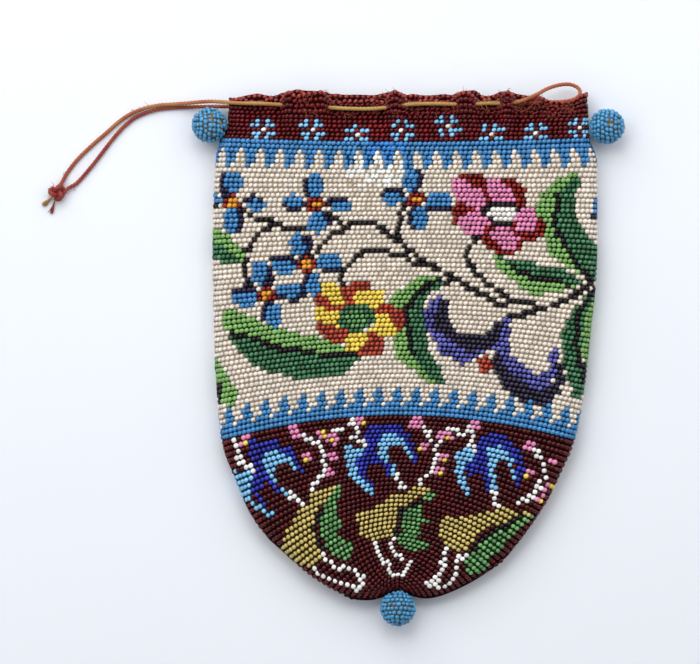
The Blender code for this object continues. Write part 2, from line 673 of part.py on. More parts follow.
def ball_mouth(name, centre, towards):
    mesh = bmesh.new()
    bmesh.ops.create_cone(
        mesh, cap_ends=True, segments=10, radius1=ball_opening_radius, radius2=ball_opening_radius,
        depth=ball_radius * 1.5,
    )
    bmesh.ops.translate(mesh, verts=mesh.verts, vec=(0, 0, ball_radius * 0.75))
    return cutter(add_mesh(name + "_mouth", mesh, centre, towards))


ball_glass = material("turquoise_glass_beads", "4a9cc8", 0.3)
wound_thread = material("wound_tan_thread", "b08a4e", 0.9)


def balls():
    """Each ball touches the fold at its own height, with the seam gap between them."""
    apart = ball_radius + fold_radius + knob_height + ball_seam_gap
    reach = math.sqrt(apart**2 - (ball_radius - fold_radius) ** 2)
    rise = fold_radius - ball_radius
    left_y = rim_y - left_ball_drop
    right_y = rim_y - right_ball_drop
    left_x = edge_x(left_side, left_y) + fold_radius - reach
    right_x = edge_x(right_side, right_y) - fold_radius + reach
    bottom_y = bag_bottom_y + notch_depth + fold_radius - reach
    beaded_ball("left_ball", (left_x, left_y, ball_radius), (reach, 0, rise))
    beaded_ball("right_ball", (right_x, right_y, ball_radius), (-reach, 0, rise))
    beaded_ball("bottom_ball", (bottom_ball_x, bottom_y, ball_radius), (0, reach, rise))


bag_body()
balls()
drawstring()
drawstring_knot()
tail("tan_tail", TAN_TAIL, "b09048")
tail("red_tail", RED_TAIL, "7c2424")
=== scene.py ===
# %% [markdown]
# # A bead-crocheted drawstring bag
#
# The real bag is one long string of small glass beads, crocheted round and round on silk into a tube
# that is closed at its rounded bottom. A twisted cord is woven through the collar, and three bead-covered
# balls hang from the corners and the bottom. This lesson builds it the same way: round by round, one small
# glass shape for each bead. It starts from a packed plain model that fixes every size and place.

import math

import bmesh
import bpy
import numpy as np
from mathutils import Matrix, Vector


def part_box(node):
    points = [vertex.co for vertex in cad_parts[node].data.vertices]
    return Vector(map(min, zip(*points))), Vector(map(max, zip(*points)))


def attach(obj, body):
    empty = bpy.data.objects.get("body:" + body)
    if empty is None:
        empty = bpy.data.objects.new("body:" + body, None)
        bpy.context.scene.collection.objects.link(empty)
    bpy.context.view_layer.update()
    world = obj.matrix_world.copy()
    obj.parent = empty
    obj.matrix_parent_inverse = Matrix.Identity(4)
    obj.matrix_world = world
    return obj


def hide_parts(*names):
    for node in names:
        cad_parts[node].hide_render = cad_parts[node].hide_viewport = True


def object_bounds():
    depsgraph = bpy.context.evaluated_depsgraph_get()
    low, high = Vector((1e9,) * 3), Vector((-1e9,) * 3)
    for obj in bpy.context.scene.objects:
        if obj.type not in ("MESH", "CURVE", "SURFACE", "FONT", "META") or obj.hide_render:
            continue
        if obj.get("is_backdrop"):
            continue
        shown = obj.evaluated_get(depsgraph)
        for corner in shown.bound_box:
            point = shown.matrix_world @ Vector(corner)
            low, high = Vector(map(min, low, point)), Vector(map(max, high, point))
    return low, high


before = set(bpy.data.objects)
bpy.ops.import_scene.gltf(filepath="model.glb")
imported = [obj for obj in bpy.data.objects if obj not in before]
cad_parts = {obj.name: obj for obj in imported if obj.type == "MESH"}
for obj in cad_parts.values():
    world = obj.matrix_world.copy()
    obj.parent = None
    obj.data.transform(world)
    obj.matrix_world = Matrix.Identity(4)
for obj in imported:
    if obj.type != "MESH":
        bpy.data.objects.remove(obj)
cad_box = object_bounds()
print("nodes:", sorted(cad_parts))

# %% [markdown]
# ## The chart and the camera
#
# Beaders work from a chart, so every place on the bag is given here in chart units of 0.37 mm, with x to
# the right and y down. The bag lies flat and is seen from straight above. A long lens from two metres
# keeps the cord on the table and the front of the bag at nearly the same scale.

# %% The chart and the camera
chart_unit = 0.00037
chart_middle_x = 408.3
chart_rim_y = 97.08
rim_y = 0.0968
millimetre = 0.001


def from_chart(x, y, height=0.0):
    """A place in metres from chart x and y, and a height in millimetres."""
    return ((x - chart_middle_x) * chart_unit, rim_y - (y - chart_rim_y) * chart_unit, height * millimetre)


def chart_x(x):
    return x / chart_unit + chart_middle_x


def chart_y(y):
    return chart_rim_y + (rim_y - y) / chart_unit


view_columns = 700
view_middle = (350, 332)
camera_height = 2.0
front_height = 0.0095
film_width = 36.0


def link_object(name, data):
    made = bpy.data.objects.new(name, data)
    bpy.context.scene.collection.objects.link(made)
    return made


camera_data = bpy.data.cameras.new("overhead_camera")
camera_data.sensor_width = film_width
camera_data.lens = camera_height * film_width / (view_columns * chart_unit)
camera = link_object("overhead_camera", camera_data)
camera.location = (*from_chart(*view_middle)[:2], camera_height + front_height)
bpy.context.scene.camera = camera
print("lens", round(camera_data.lens), "mm")

# %% [markdown]
# ## The cord
#
# The drawstring is a twisted silk cord, 1.4 mm thick. Its line starts and ends inside the front wall, where
# nobody sees it: it goes out to the knot at the left, back along the other wall, round a slack loop at the
# right, and in and out of the eyelets along the front. A curve with a round bevel would be smooth, so the
# cord is built as rings whose outline has three lobes, and each ring is turned a little further than the
# last: that is what twisting three plies does. Each point of the route has its chart x and y, its height
# in millimetres, and how far the dark red dye has worn off to tan there.

# %% A smooth line through points


def run_along(line):
    """The length from the start of a line to each of its points."""
    return np.concatenate([[0], np.cumsum(np.linalg.norm(np.diff(line, axis=0), axis=1))])


def smooth_line(points, count, steps=32):
    """count rows, evenly spaced along a Catmull-Rom curve through the given points."""
    p = np.array(points, float)
    ends = np.vstack([2 * p[0] - p[1], p, 2 * p[-1] - p[-2]])
    share = np.linspace(0, 1, steps, endpoint=False)[:, None]
    found = []
    for a, b, c, d in zip(ends, ends[1:], ends[2:], ends[3:]):
        found.append(
            0.5 * (2 * b + (c - a) * share + (2 * a - 5 * b + 4 * c - d) * share**2
                   + (3 * b - a - 3 * c + d) * share**3)
        )
    fine = np.vstack([*found, p[-1:]])
    run = run_along(fine[:, :3])
    at = np.linspace(0, run[-1], count)
    return np.column_stack([np.interp(at, run, fine[:, k]) for k in range(p.shape[1])])


# %% The cord's route
cord_diameter = 0.0014
CORD_ROUTE = (
    (305.0, 106.4, 8.45, 0.7), (283.0, 104.8, 8.75, 0.8), (262.0, 103.6, 9.2, 0.8), (240.0, 103.2, 9.7, 0.75),
    (226.0, 102.2, 9.5, 0.7), (213.0, 101.2, 7.8, 0.65), (200.0, 101.4, 5.4, 0.6), (187.0, 102.4, 3.3, 0.6),
    (172.0, 103.4, 2.0, 0.6), (157.0, 104.6, 1.9, 0.65), (142.0, 108.0, 1.6, 0.55), (127.0, 114.4, 1.0, 0.5),
    (115.0, 123.2, 0.8, 0.5), (105.0, 132.2, 0.8, 0.5), (95.0, 140.8, 0.8, 0.45), (86.0, 149.0, 0.8, 0.45),
    (77.0, 158.0, 0.8, 0.4), (70.0, 166.5, 0.8, 0.35), (64.5, 174.5, 0.8, 0.3), (60.4, 182.6, 1.6, 0.2),
    (56.6, 187.0, 2.2, 0.1), (53.4, 192.0, 2.4, 0.1), (55.0, 197.0, 2.4, 0.1), (60.4, 196.0, 2.2, 0.1),
    (66.1, 188.4, 1.6, 0.1), (75.0, 183.0, 0.8, 0.1), (83.0, 174.5, 0.8, 0.05), (91.0, 165.0, 0.8, 0.05),
    (100.0, 153.5, 0.8, 0.1), (110.0, 140.4, 0.8, 0.1), (121.0, 127.6, 0.8, 0.1), (132.0, 118.2, 0.8, 0.15),
    (144.0, 112.2, 0.8, 0.15), (157.0, 108.4, 0.8, 0.2), (172.0, 106.8, 0.8, 0.2), (190.0, 106.0, 1.2, 0.25),
    (207.0, 105.8, 2.6, 0.3), (222.0, 105.8, 3.2, 0.3), (237.0, 105.8, 2.2, 0.3), (252.0, 105.8, 0.9, 0.3),
    (266.0, 106.0, 0.9, 0.3), (283.0, 106.2, 1.9, 0.3), (305.0, 106.4, 2.62, 0.3), (328.0, 106.4, 1.9, 0.3),
    (345.0, 106.2, 0.85, 0.3), (370.0, 105.8, 0.85, 0.3), (386.0, 105.4, 1.9, 0.3), (403.0, 105.2, 2.62, 0.3),
    (420.0, 105.0, 1.9, 0.3), (436.0, 104.8, 0.85, 0.3), (455.0, 104.6, 0.85, 0.3), (470.0, 104.6, 1.9, 0.3),
    (485.0, 104.6, 2.75, 0.4), (500.0, 104.2, 3.4, 0.4), (514.0, 103.6, 5.0, 0.4), (527.0, 102.8, 7.0, 0.45),
    (539.0, 102.2, 8.6, 0.45), (549.0, 102.0, 9.5, 0.45), (561.0, 101.8, 9.9, 0.45), (573.0, 99.6, 9.4, 0.45),
    (580.0, 94.6, 7.6, 0.45), (579.0, 88.0, 5.6, 0.45), (571.0, 84.0, 5.2, 0.45), (560.0, 84.6, 6.6, 0.45),
    (548.0, 88.4, 8.4, 0.45), (537.6, 94.0, 9.6, 0.5), (526.0, 99.2, 9.9, 0.5), (514.0, 102.6, 9.3, 0.6),
    (500.0, 103.2, 9.0, 0.8), (489.0, 103.2, 9.1, 0.85), (477.0, 103.8, 8.75, 0.85), (467.0, 104.2, 8.5, 0.8),
    (457.0, 104.2, 8.75, 0.9), (430.0, 103.6, 9.15, 0.9), (403.0, 104.8, 9.0, 0.95), (387.0, 107.4, 9.0, 1.0),
    (368.0, 108.8, 9.15, 1.0), (345.0, 108.4, 9.15, 1.0), (328.0, 107.4, 8.75, 0.9), (309.0, 106.6, 8.5, 0.7),
)
cord_rings = 1150
cord_path = smooth_line([(*from_chart(x, y, z), worn) for x, y, z, worn in CORD_ROUTE], cord_rings)

# %% Rings that turn as they go


def frames_along(path):
    """A pair of directions across the path at each point, carried along without twist."""
    way = np.gradient(path, axis=0)
    way /= np.linalg.norm(way, axis=1)[:, None]
    across = np.zeros_like(way)
    first = np.cross(way[0], (0, 0, 1.0))
    across[0] = first / np.linalg.norm(first)
    for i in range(1, len(path)):
        kept = across[i - 1] - way[i] * (across[i - 1] @ way[i])
        across[i] = kept / np.linalg.norm(kept)
    return across, np.cross(way, across)


def grid_faces(rows, columns, closed):
    """Four-sided faces between neighbouring rows of points; closed joins the last column to the first."""
    a = np.arange(columns if closed else columns - 1)[None, :]
    b = (a + 1) % columns
    row = np.arange(rows - 1)[:, None] * columns
    return np.stack([row + a, row + b, row + columns + b, row + columns + a], axis=2).reshape(-1, 4)


def link_mesh(name, points, faces, smooth=True):
    data = bpy.data.meshes.new(name)
    data.from_pydata(np.asarray(points).tolist(), [], [tuple(face) for face in np.asarray(faces).tolist()])
    if smooth:
        data.shade_smooth()
    return link_object(name, data)


def store(data, name, values):
    """Stores one number at each point of a mesh, for its material to read."""
    data.attributes.new(name, "FLOAT", "POINT").data.foreach_set("value", np.asarray(values, np.float32))


def twisted_tube(name, path, radius, lay, worn, plies=3, around=12, groove=0.13):
    """A cord of twisted plies along a path; lay is the length of one full turn, worn how far the dye is."""
    across, up = frames_along(path)
    turn = run_along(path) / lay * math.tau
    angle = np.linspace(0, math.tau, around, endpoint=False)
    reach = radius * (1 - groove + groove * np.cos(plies * (angle[None, :] - turn[:, None])))
    points = (path[:, None, :] + across[:, None, :] * (reach * np.cos(angle))[:, :, None]
              + up[:, None, :] * (reach * np.sin(angle))[:, :, None]).reshape(-1, 3)
    made = link_mesh(name, points, grid_faces(len(path), around, closed=True))
    mesh = bmesh.new()
    mesh.from_mesh(made.data)
    mesh.verts.ensure_lookup_table()
    mesh.faces.new([mesh.verts[i] for i in range(around)][::-1])
    mesh.faces.new([mesh.verts[i - around] for i in range(around)])
    bmesh.ops.recalc_face_normals(mesh, faces=mesh.faces)
    mesh.to_mesh(made.data)
    mesh.free()
    store(made.data, "worn", np.repeat(worn, around))
    return made


# %% Lay the cord
cord_lay = 0.0042
ply_swell = 1.12  # the plies stand out a little past the cord's mean radius
drawstring = twisted_tube(
    "silk_drawstring", cord_path[:, :3], cord_diameter / 2 * ply_swell, cord_lay, cord_path[:, 3]
)
print("drawstring", len(drawstring.data.polygons), "faces")

# %% [markdown]
# ## The knot and the frayed ends
#
# The two ends are tied together in an overhand knot, whose line has three lobes. Beyond it the plies
# have come apart: each end is a bundle of separate fibres that spread out, so it is drawn fibre by fibre.

# %% The knot
rng = np.random.default_rng(41)
KNOT_AT = (56.0, 192.0)
knot_size = 0.0070
knot_cord_radius = 0.00092
knot_height = 0.0044
knot_above_table = 0.0001
knot_turn = math.radians(15)
knot_lay = 0.0036
knot_wear = 0.12
knot_rings = 150
nearly_closed = 0.999  # the knot's line stops just before it would meet its own start


def knot_path():
    lobe = (knot_size / 2 - knot_cord_radius) / 3
    height = knot_height / 2 - knot_cord_radius
    t = np.linspace(0, math.tau * nearly_closed, knot_rings)
    x = np.sin(t) + 2 * np.sin(2 * t)
    y = np.cos(t) - 2 * np.cos(2 * t)
    angle = np.arctan2(y, x) + knot_turn
    reach = np.hypot(x, y) * lobe
    middle = from_chart(*KNOT_AT)
    z = knot_height / 2 + knot_above_table - height * np.sin(3 * t)
    return np.column_stack([middle[0] + reach * np.cos(angle), middle[1] + reach * np.sin(angle), z])


knot = twisted_tube("overhand_knot", knot_path(), knot_cord_radius, knot_lay, np.full(knot_rings, knot_wear))

# %% Fibres of the frayed ends
fibre_rows = 9
fibre_taper = 0.5
frayed_radius = 0.00013
frayed_from = 0.15
frayed_power = 1.5
frayed_wear_spread = 0.1
lowest_fibre = 0.00015


def fibres(name, strands, radius, around=4):
    """One mesh of thin fibres; each strand is a list of points and how worn its dye is."""
    angle = math.tau * np.arange(around) / around
    size = radius * (1 - fibre_taper * np.arange(fibre_rows) / (fibre_rows - 1))
    points = []
    for line, _ in strands:
        path = smooth_line(line, fibre_rows)
        across, up = frames_along(path)
        ring = across[:, None, :] * np.cos(angle)[:, None] + up[:, None, :] * np.sin(angle)[:, None]
        points.append(path[:, None, :] + size[:, None, None] * ring)
    one = grid_faces(fibre_rows, around, closed=True)
    faces = np.vstack([one + number * fibre_rows * around for number in range(len(strands))])
    made = link_mesh(name, np.array(points).reshape(-1, 3), faces)
    store(made.data, "worn", np.repeat([wear for _, wear in strands], fibre_rows * around))
    return made


def frayed_end(name, route, count, spread, worn):
    """Fibres that start together at the knot and spread apart towards the end of the route."""
    middle = np.array([from_chart(*p) for p in route])
    opening = np.linspace(frayed_from, 1, len(middle))[:, None] ** frayed_power
    strands = []
    for _ in range(count):
        line = middle + rng.normal(0, 1, 3) * spread * opening
        line[:, 2] = np.maximum(line[:, 2], lowest_fibre)
        strands.append((line, float(np.clip(worn + rng.normal(0, frayed_wear_spread), 0, 1))))
    return fibres(name, strands, frayed_radius)


tan_tail = frayed_end(
    "tan_frayed_end", ((52.0, 195.0, 1.6), (48.0, 198.8, 0.9), (45.4, 201.2, 0.7), (42.4, 204.0, 0.5)),
    count=44, spread=0.00055, worn=1.0,
)
red_tail = frayed_end(
    "red_frayed_end", ((54.2, 199.0, 1.6), (52.6, 204.5, 0.8), (51.6, 208.0, 0.7), (50.2, 211.6, 0.5)),
    count=40, spread=0.00045, worn=0.05,
)

# %% Loose fibres along the cord and round the knot
stray_radius = 0.00009
stray_curl = 0.5
stray_arch = 0.5
stray_shares = (0, 0.35, 0.7, 1.0)
knot_reach = 7
knot_stray_count = 34
loose_thread_radius = 0.00022
loose_thread_wear = 0.05
# Chart x and y, height in mm, direction in degrees, length in chart units, and wear
STRAYS = (
    (132, 111.6, 1.6, 20, 9, 0.6), (138, 109.2, 1.9, 200, 8, 0.7), (146, 106.6, 2.0, 330, 11, 0.8),
    (151, 105.6, 2.3, 165, 9, 0.5), (128, 113.6, 1.2, 60, 7, 0.4), (96, 140.4, 0.8, 200, 6, 0.3),
    (135, 110.4, 1.9, 185, 7, 0.8), (142, 107.8, 2.2, 190, 8, 0.9), (154, 105.0, 2.4, 15, 8, 0.8),
    (149, 105.9, 2.4, 350, 7, 0.9), (483, 103, 9.6, 35, 10, 0.95), (488, 103, 9.6, 330, 9, 0.9),
    (493, 103, 9.6, 150, 8, 0.9), (480, 104, 9.4, 300, 9, 0.85), (496, 103, 9.5, 60, 8, 0.9),
    (486, 103, 9.6, 260, 8, 0.8), (66, 172, 0.8, 140, 5, 0.2), (72, 186, 0.8, 300, 5, 0.1),
    (490, 103, 9.7, 10, 9, 0.9),
)
LOOSE_THREAD = (
    (537.7, 97.4, 9.9), (534.6, 102.0, 10.3), (530.0, 107.5, 10.0), (522.0, 111.4, 9.2), (512.0, 108.0, 9.4),
)


def stray(x, y, height, direction, length, worn):
    """A fibre that leaves the cord at a chart point and curls away."""
    turn = math.radians(direction)
    bend = rng.normal(0, stray_curl)
    line = []
    for share in stray_shares:
        heading = turn + bend * share
        line.append(from_chart(
            x + length * share * math.cos(heading), y - length * share * math.sin(heading),
            height + stray_arch * share * (1 - share),
        ))
    return line, worn


strays = [stray(*values) for values in STRAYS]
# Round the knot, the height, direction, length and wear of each fibre are drawn between two bounds
for turn in rng.uniform(0, math.tau, knot_stray_count):
    strays.append(stray(
        KNOT_AT[0] + knot_reach * math.cos(turn), KNOT_AT[1] + knot_reach * math.sin(turn),
        rng.uniform(1.2, 3.6), rng.uniform(0, 360), rng.uniform(3, 6), rng.uniform(0, 0.3),
    ))
stray_fibres = fibres("stray_fibres", strays, stray_radius)
loose_thread = [from_chart(*p) for p in LOOSE_THREAD]
red_thread = fibres("loose_red_thread", [(loose_thread, loose_thread_wear)], loose_thread_radius, around=6)

for piece in (drawstring, knot, tan_tail, red_tail, stray_fibres, red_thread):
    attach(piece, "root")
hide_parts("drawstring")
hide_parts("drawstring_knot")
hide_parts("tan_tail")
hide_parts("red_tail")

# %% [markdown]
# ## The shape of the bag
#
# The bag is a flattened tube. Its outline comes from two sides, given as shares of the height and the
# half width. A round of beads is a closed ring that crosses the front and the back between two folds, and
# it bows upwards in the base, because the base is a cup. Near the rim the cord pulls the walls in and out,
# so the collar's height follows the cord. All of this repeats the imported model's own sizes.

# %% The sides
bag_half_width = 0.0710
bag_height = 0.1857
bag_bottom_y = -0.0889
bag_middle_x = -0.0012
bag_thickness = 0.0095
fold_radius = bag_thickness / 2
base_height = 0.0679
collar_height = 0.0170
base_bow = 0.0092
collar_bow = -0.0015
gather_start = 0.0175
gather_full = 0.0070
gather_from_fold = 0.6
front_low_height = 0.0077
front_high_height = 0.0111
back_high_height = 0.0020
eyelet_slope = 0.0022
rim_peak = 0.0019
bottom_ball_x = -0.0038
notch_depth = 0.0034
notch_width = 0.0046
notch_reach = 0.0110
blue_past_collar = 0.0006
side_points = 400
RIGHT_SIDE = (
    (0.000, -0.037), (0.005, 0.130), (0.018, 0.239), (0.042, 0.365), (0.080, 0.506), (0.123, 0.610),
    (0.193, 0.735), (0.257, 0.818), (0.309, 0.876), (0.396, 0.923), (0.540, 0.969), (0.652, 0.996),
    (0.795, 1.000), (0.875, 0.996), (0.912, 0.963), (0.954, 0.954), (1.000, 0.948),
)
LEFT_SIDE = (
    (0.000, 0.037), (0.001, 0.208), (0.012, 0.339), (0.052, 0.511), (0.100, 0.641), (0.145, 0.761),
    (0.201, 0.844), (0.255, 0.901), (0.319, 0.954), (0.432, 0.980), (0.536, 0.993), (0.700, 1.000),
    (0.839, 0.990), (0.900, 0.972), (0.930, 0.930), (0.962, 0.917), (1.000, 0.913),
)
FRONT_EYELETS = ((283, 328), (387, 403), (457, 477), (500, 514), (539, 620))
BACK_EYELETS = ((180, 236), (283, 328), (386, 420), (470, 540), (620, 640))


def side(shares, sign):
    """One side of the outline, from shares of the height and of the half width."""
    up, across = np.array(shares).T
    points = np.column_stack([bag_middle_x + sign * across * bag_half_width, bag_bottom_y + up * bag_height])
    return smooth_line(points, side_points)


def eased(share):
    """Turns a straight slope from 0 to 1 into one with soft ends."""
    return share**2 * (3 - 2 * share)


left_side = side(LEFT_SIDE, -1)
right_side = side(RIGHT_SIDE, 1)
left_run = run_along(left_side)
right_run = run_along(right_side)
base_end_y = bag_bottom_y + base_height
collar_start_y = rim_y - collar_height
collar_edge_y = collar_start_y + blue_past_collar

# %% Where the cord is inside the wall, and what it draws in


def cord_inside(x, eyelets):
    """1 where the cord runs inside the wall, 0 where it lies outside, with a slope at each eyelet."""
    slope = eyelet_slope / chart_unit
    found = np.zeros(len(x))
    for start, stop in eyelets:
        rise = np.clip((chart_x(x) - start + slope) / (2 * slope), 0, 1)
        fall = np.clip((stop + slope - chart_x(x)) / (2 * slope), 0, 1)
        found = np.maximum(found, np.minimum(rise, fall))
    return eased(found)


def drawn_in(points):
    """Plan points after the bottom ball's stitches and the cord have drawn the fabric together."""
    moved = np.array(points, float)
    near_rim = np.clip((moved[:, 1] - rim_y) / gather_full + 1, 0, 1)
    across = np.exp(-(((moved[:, 0] - bottom_ball_x) / notch_width) ** 2) / 2)
    up = np.exp(-((moved[:, 1] - bag_bottom_y) / notch_reach))
    moved[:, 1] += notch_depth * across * np.clip(up, 0, 1)
    moved[:, 1] += rim_peak * near_rim * cord_inside(moved[:, 0], FRONT_EYELETS)
    return moved


outline = drawn_in(np.vstack([left_side[::-1], right_side[1:]]))

# %% A round, and the heights of the two walls


def ends_of_round(middle_y):
    """The left and right ends of the round that passes this height along the middle."""
    ends = []
    for line, run in ((left_side, left_run), (right_side, right_run)):
        base_run = np.interp(base_end_y - base_bow, line[:, 1], run)
        collar_run = np.interp(collar_start_y - collar_bow, line[:, 1], run)
        at = np.interp(
            middle_y, (bag_bottom_y, base_end_y, collar_start_y, rim_y), (0, base_run, collar_run, run[-1])
        )
        ends.append(np.array([np.interp(at, run, line[:, 0]), np.interp(at, run, line[:, 1])]))
    return ends


def along_round(middle_y, across):
    """Plan points of a round at shares from -1 at its left end to 1 at its right end."""
    left, right = ends_of_round(middle_y)
    x = (left[0] + right[0]) / 2 + (right[0] - left[0]) / 2 * across
    ends_y = (left[1] + right[1]) / 2
    y = middle_y + (right[1] - left[1]) / 2 * across + (ends_y - middle_y) * across**2
    return drawn_in(np.column_stack([x, y]))


def walls(points):
    """The heights of the front and the back at plan points."""
    gaps = points[:, None, :] - outline[None, :, :]
    gap = np.hypot(gaps[:, :, 0], gaps[:, :, 1]).min(axis=1)
    into_fold = np.clip(gap, 0, fold_radius)
    rise = np.sqrt(np.maximum(fold_radius**2 - (fold_radius - into_fold) ** 2, 0))
    front = fold_radius + rise
    back = fold_radius - rise
    gathered = np.clip((gather_start - rim_y + points[:, 1]) / (gather_start - gather_full), 0, 1)
    gathered = eased(gathered) * np.clip(gap / fold_radius - gather_from_fold, 0, 1)
    front_inside = cord_inside(points[:, 0], FRONT_EYELETS)
    front_at = front_low_height + (front_high_height - front_low_height) * front_inside
    back_at = back_high_height * (1 - cord_inside(points[:, 0], BACK_EYELETS))
    return front + gathered * (front_at - bag_thickness), back + gathered * back_at


# %% [markdown]
# ## Rounds and beads
#
# The fabric has 42 rounds in the base, 59 in the floral band and 10 in the collar, about 1.7 mm apart.
# A round of the band has 160 beads, and the base has fewer towards the bottom. Each round is measured
# along its real length over the front, the fold and the back, so that the beads are evenly spaced round
# the folds too. Every bead also leans: the stitches lie at a slant, and each round starts a little
# further on than the last.

# %% Dense rounds in space
base_rounds = 42
band_rounds = 59
collar_rounds = 10


def middles(start, end, count):
    """The middle heights of count rounds between two heights."""
    return np.linspace(start, end, count + 1)[1:] - (end - start) / count / 2


round_heights = np.concatenate([
    middles(bag_bottom_y, base_end_y, base_rounds), middles(base_end_y, collar_edge_y, band_rounds),
    middles(collar_edge_y, rim_y, collar_rounds),
])
# Shares crowd towards the folds, where the round turns from the front to the back
half_steps = 240
crowding = 0.65
fold_turn = np.linspace(-math.pi / 2, math.pi / 2, half_steps + 1)
dense_shares = np.sin(fold_turn) * (1 - crowding) + np.sin(np.sin(fold_turn) * math.pi / 2) * crowding

# %% Ruffles of the gathered rim, which the plain model leaves out
# Chart x, half width, height in mm
RUFFLES = (
    (240, 6, 0.5), (257, 5, -1.2), (272, 6, 1.1), (280, 4, -0.9), (287, 5, 1.3), (297, 5, -1.0),
    (309, 7, 0.3), (322, 6, 1.2), (336, 5, -1.1), (356, 9, -0.2), (374, 6, 0.4), (382, 5, -1.2),
    (394, 6, 1.3), (404, 5, 0.6), (413, 5, -1.2), (428, 7, 0.5), (444, 5, -0.7), (458, 6, 0.9),
    (467, 5, 0.8), (477, 5, -1.2), (487, 5, 0.8), (497, 5, -0.9), (508, 6, 1.1), (520, 5, -0.7),
    (531, 5, 0.9), (586, 4, 1.3),
)
# Under the cord's loop the rim is rolled away on both walls: chart x, half width, fall in mm
rolled_x = 560
rolled_half_width = 19
rolled_fall = 3.4
ruffle_depth = 0.0080
ruffle_fade = 0.10  # share of the half width next to each fold where the ruffles fade out
ruffle_lift = 0.9
front_rim_sway = 0.0009
front_rim_held = 0.0007
back_rim_sway = 0.0004
back_rim_rise = 0.0017
back_rim_lift = 0.55
back_rim_gap = 0.003


def dense_round(middle_y):
    """A closed line in space: the front from left to right, then the back from right to left."""
    plan = along_round(middle_y, dense_shares)
    front, back = walls(plan)
    over = np.column_stack([plan, front])
    under = np.column_stack([plan, back])
    at_x = chart_x(plan[:, 0])
    near_rim = max(0.0, 1 - (rim_y - middle_y) / ruffle_depth)
    away_from_fold = np.clip((1 - np.abs(dense_shares)) / ruffle_fade, 0, 1)
    wave = sum(high * np.exp(-(((at_x - x) / wide) ** 2)) for x, wide, high in RUFFLES)
    held = 1 - cord_inside(plan[:, 0], FRONT_EYELETS)
    fall = np.exp(-(((at_x - rolled_x) / rolled_half_width) ** 4))
    moved = near_rim**2 * away_from_fold
    over[:, 2] += near_rim * away_from_fold * ruffle_lift * wave * millimetre
    over[:, 1] += moved * (front_rim_sway * wave - front_rim_held * held)
    under[:, 1] += moved * (back_rim_rise * (1 - fall) - back_rim_sway * wave)
    for wall in (over, under):
        wall[:, 1] -= near_rim * fall * rolled_fall * millimetre
    under[:, 2] += moved * back_rim_lift * np.maximum(over[:, 2] - under[:, 2] - back_rim_gap, 0)
    return np.vstack([over, under[::-1][1:-1]])


def surface(heights):
    """Dense rounds with the outward direction at each point."""
    lines = np.array([dense_round(y) for y in heights])
    around = np.roll(lines, -1, axis=1) - np.roll(lines, 1, axis=1)
    upwards = np.gradient(lines, axis=0)
    outwards = np.cross(around, upwards)
    outwards /= np.maximum(np.linalg.norm(outwards, axis=2), 1e-12)[:, :, None]
    flip = np.sign((outwards[:, :, 2] * (lines[:, :, 2] - fold_radius)).sum())
    return lines, outwards * flip, upwards


rounds, outwards, upwards = surface(round_heights)
print(len(rounds), "rounds of", rounds.shape[1], "measured points")

# %% Beads along each round
bead_pitch = 0.00178
band_beads = 160
collar_beads = 152
fewest_beads = 8
round_lean = 0.18
look_along = 0.0004
knob_height = 0.00035
bead_rise = 0.00074


def unit(vectors):
    return vectors / np.maximum(np.linalg.norm(vectors, axis=1), 1e-12)[:, None]


def beads_of_round(j):
    """Centres, directions and round gaps of one round's beads, evenly spaced, with their column numbers."""
    line, out, up = (np.vstack([values[j], values[j][:1]]) for values in (rounds, outwards, upwards))
    run = run_along(line)
    if j < base_rounds:
        count = max(fewest_beads, round(run[-1] / bead_pitch))
    else:
        count = band_beads if j < base_rounds + band_rounds else collar_beads
    column = np.arange(count)
    at = (column + 0.5 - round_lean * j) % count / count * run[-1]

    def found_at(place, values):
        return np.column_stack([np.interp(place, run, values[:, k]) for k in range(3)])

    along = found_at((at + look_along) % run[-1], line) - found_at((at - look_along) % run[-1], line)
    return found_at(at, line), found_at(at, out), along, found_at(at, up), column


found = [beads_of_round(j) for j in range(len(rounds))]
bead_round = np.concatenate([np.full(len(f[0]), j) for j, f in enumerate(found)])
bead_at, bead_out, bead_along, bead_up = (np.vstack([f[k] for f in found]) for k in range(4))
bead_out = unit(bead_out)
bead_along = unit(bead_along)
bead_gap = np.linalg.norm(bead_up, axis=1)
bead_column = np.concatenate([f[4] for f in found])
bead_count = len(bead_at)
print(bead_count, "beads")

# %% [markdown]
# ## The pattern
#
# The chart is drawn as simple shapes: ovals for petals, outlines of a few points for leaves and birds, and
# lines one bead wide for stems, twigs and legs. A later shape lies over an earlier one, and a bead takes
# the colour of the shape that its middle falls in. The blue zigzags and the collar's flowers are counted
# instead, as a beader counts them: two full rounds, then teeth of three, two, two and one bead, every four
# beads. The back repeats the front's chart. The glass colours are sRGB values in hexadecimal.

# %% Glass colours
BEAD_GLASS = {
    "maroon": "5c040a", "cream": "f4e8dc", "blue": "428ac6", "black": "1e1618", "light_green": "84b664",
    "dark_green": "477c58", "pink": "ec90be", "dark_red": "8c2018", "yellow": "fadc58", "brick": "b0442c",
    "violet": "6060b0", "sky": "8ccffa", "royal": "2e34a8", "ochre": "dcc678", "white": "fffefb",
    "orange": "f0a030", "mid_green": "6ca264", "navy": "201a3c", "ball_blue": "4c9ccc",
    "bright_blue": "3486d6", "bright_red": "741014", "painted_lit_rim_red": "9c3430", "deep_maroon": "440306",
    "ink": "342e44",
}
COLOUR_NUMBER = {name: number for number, name in enumerate(BEAD_GLASS)}

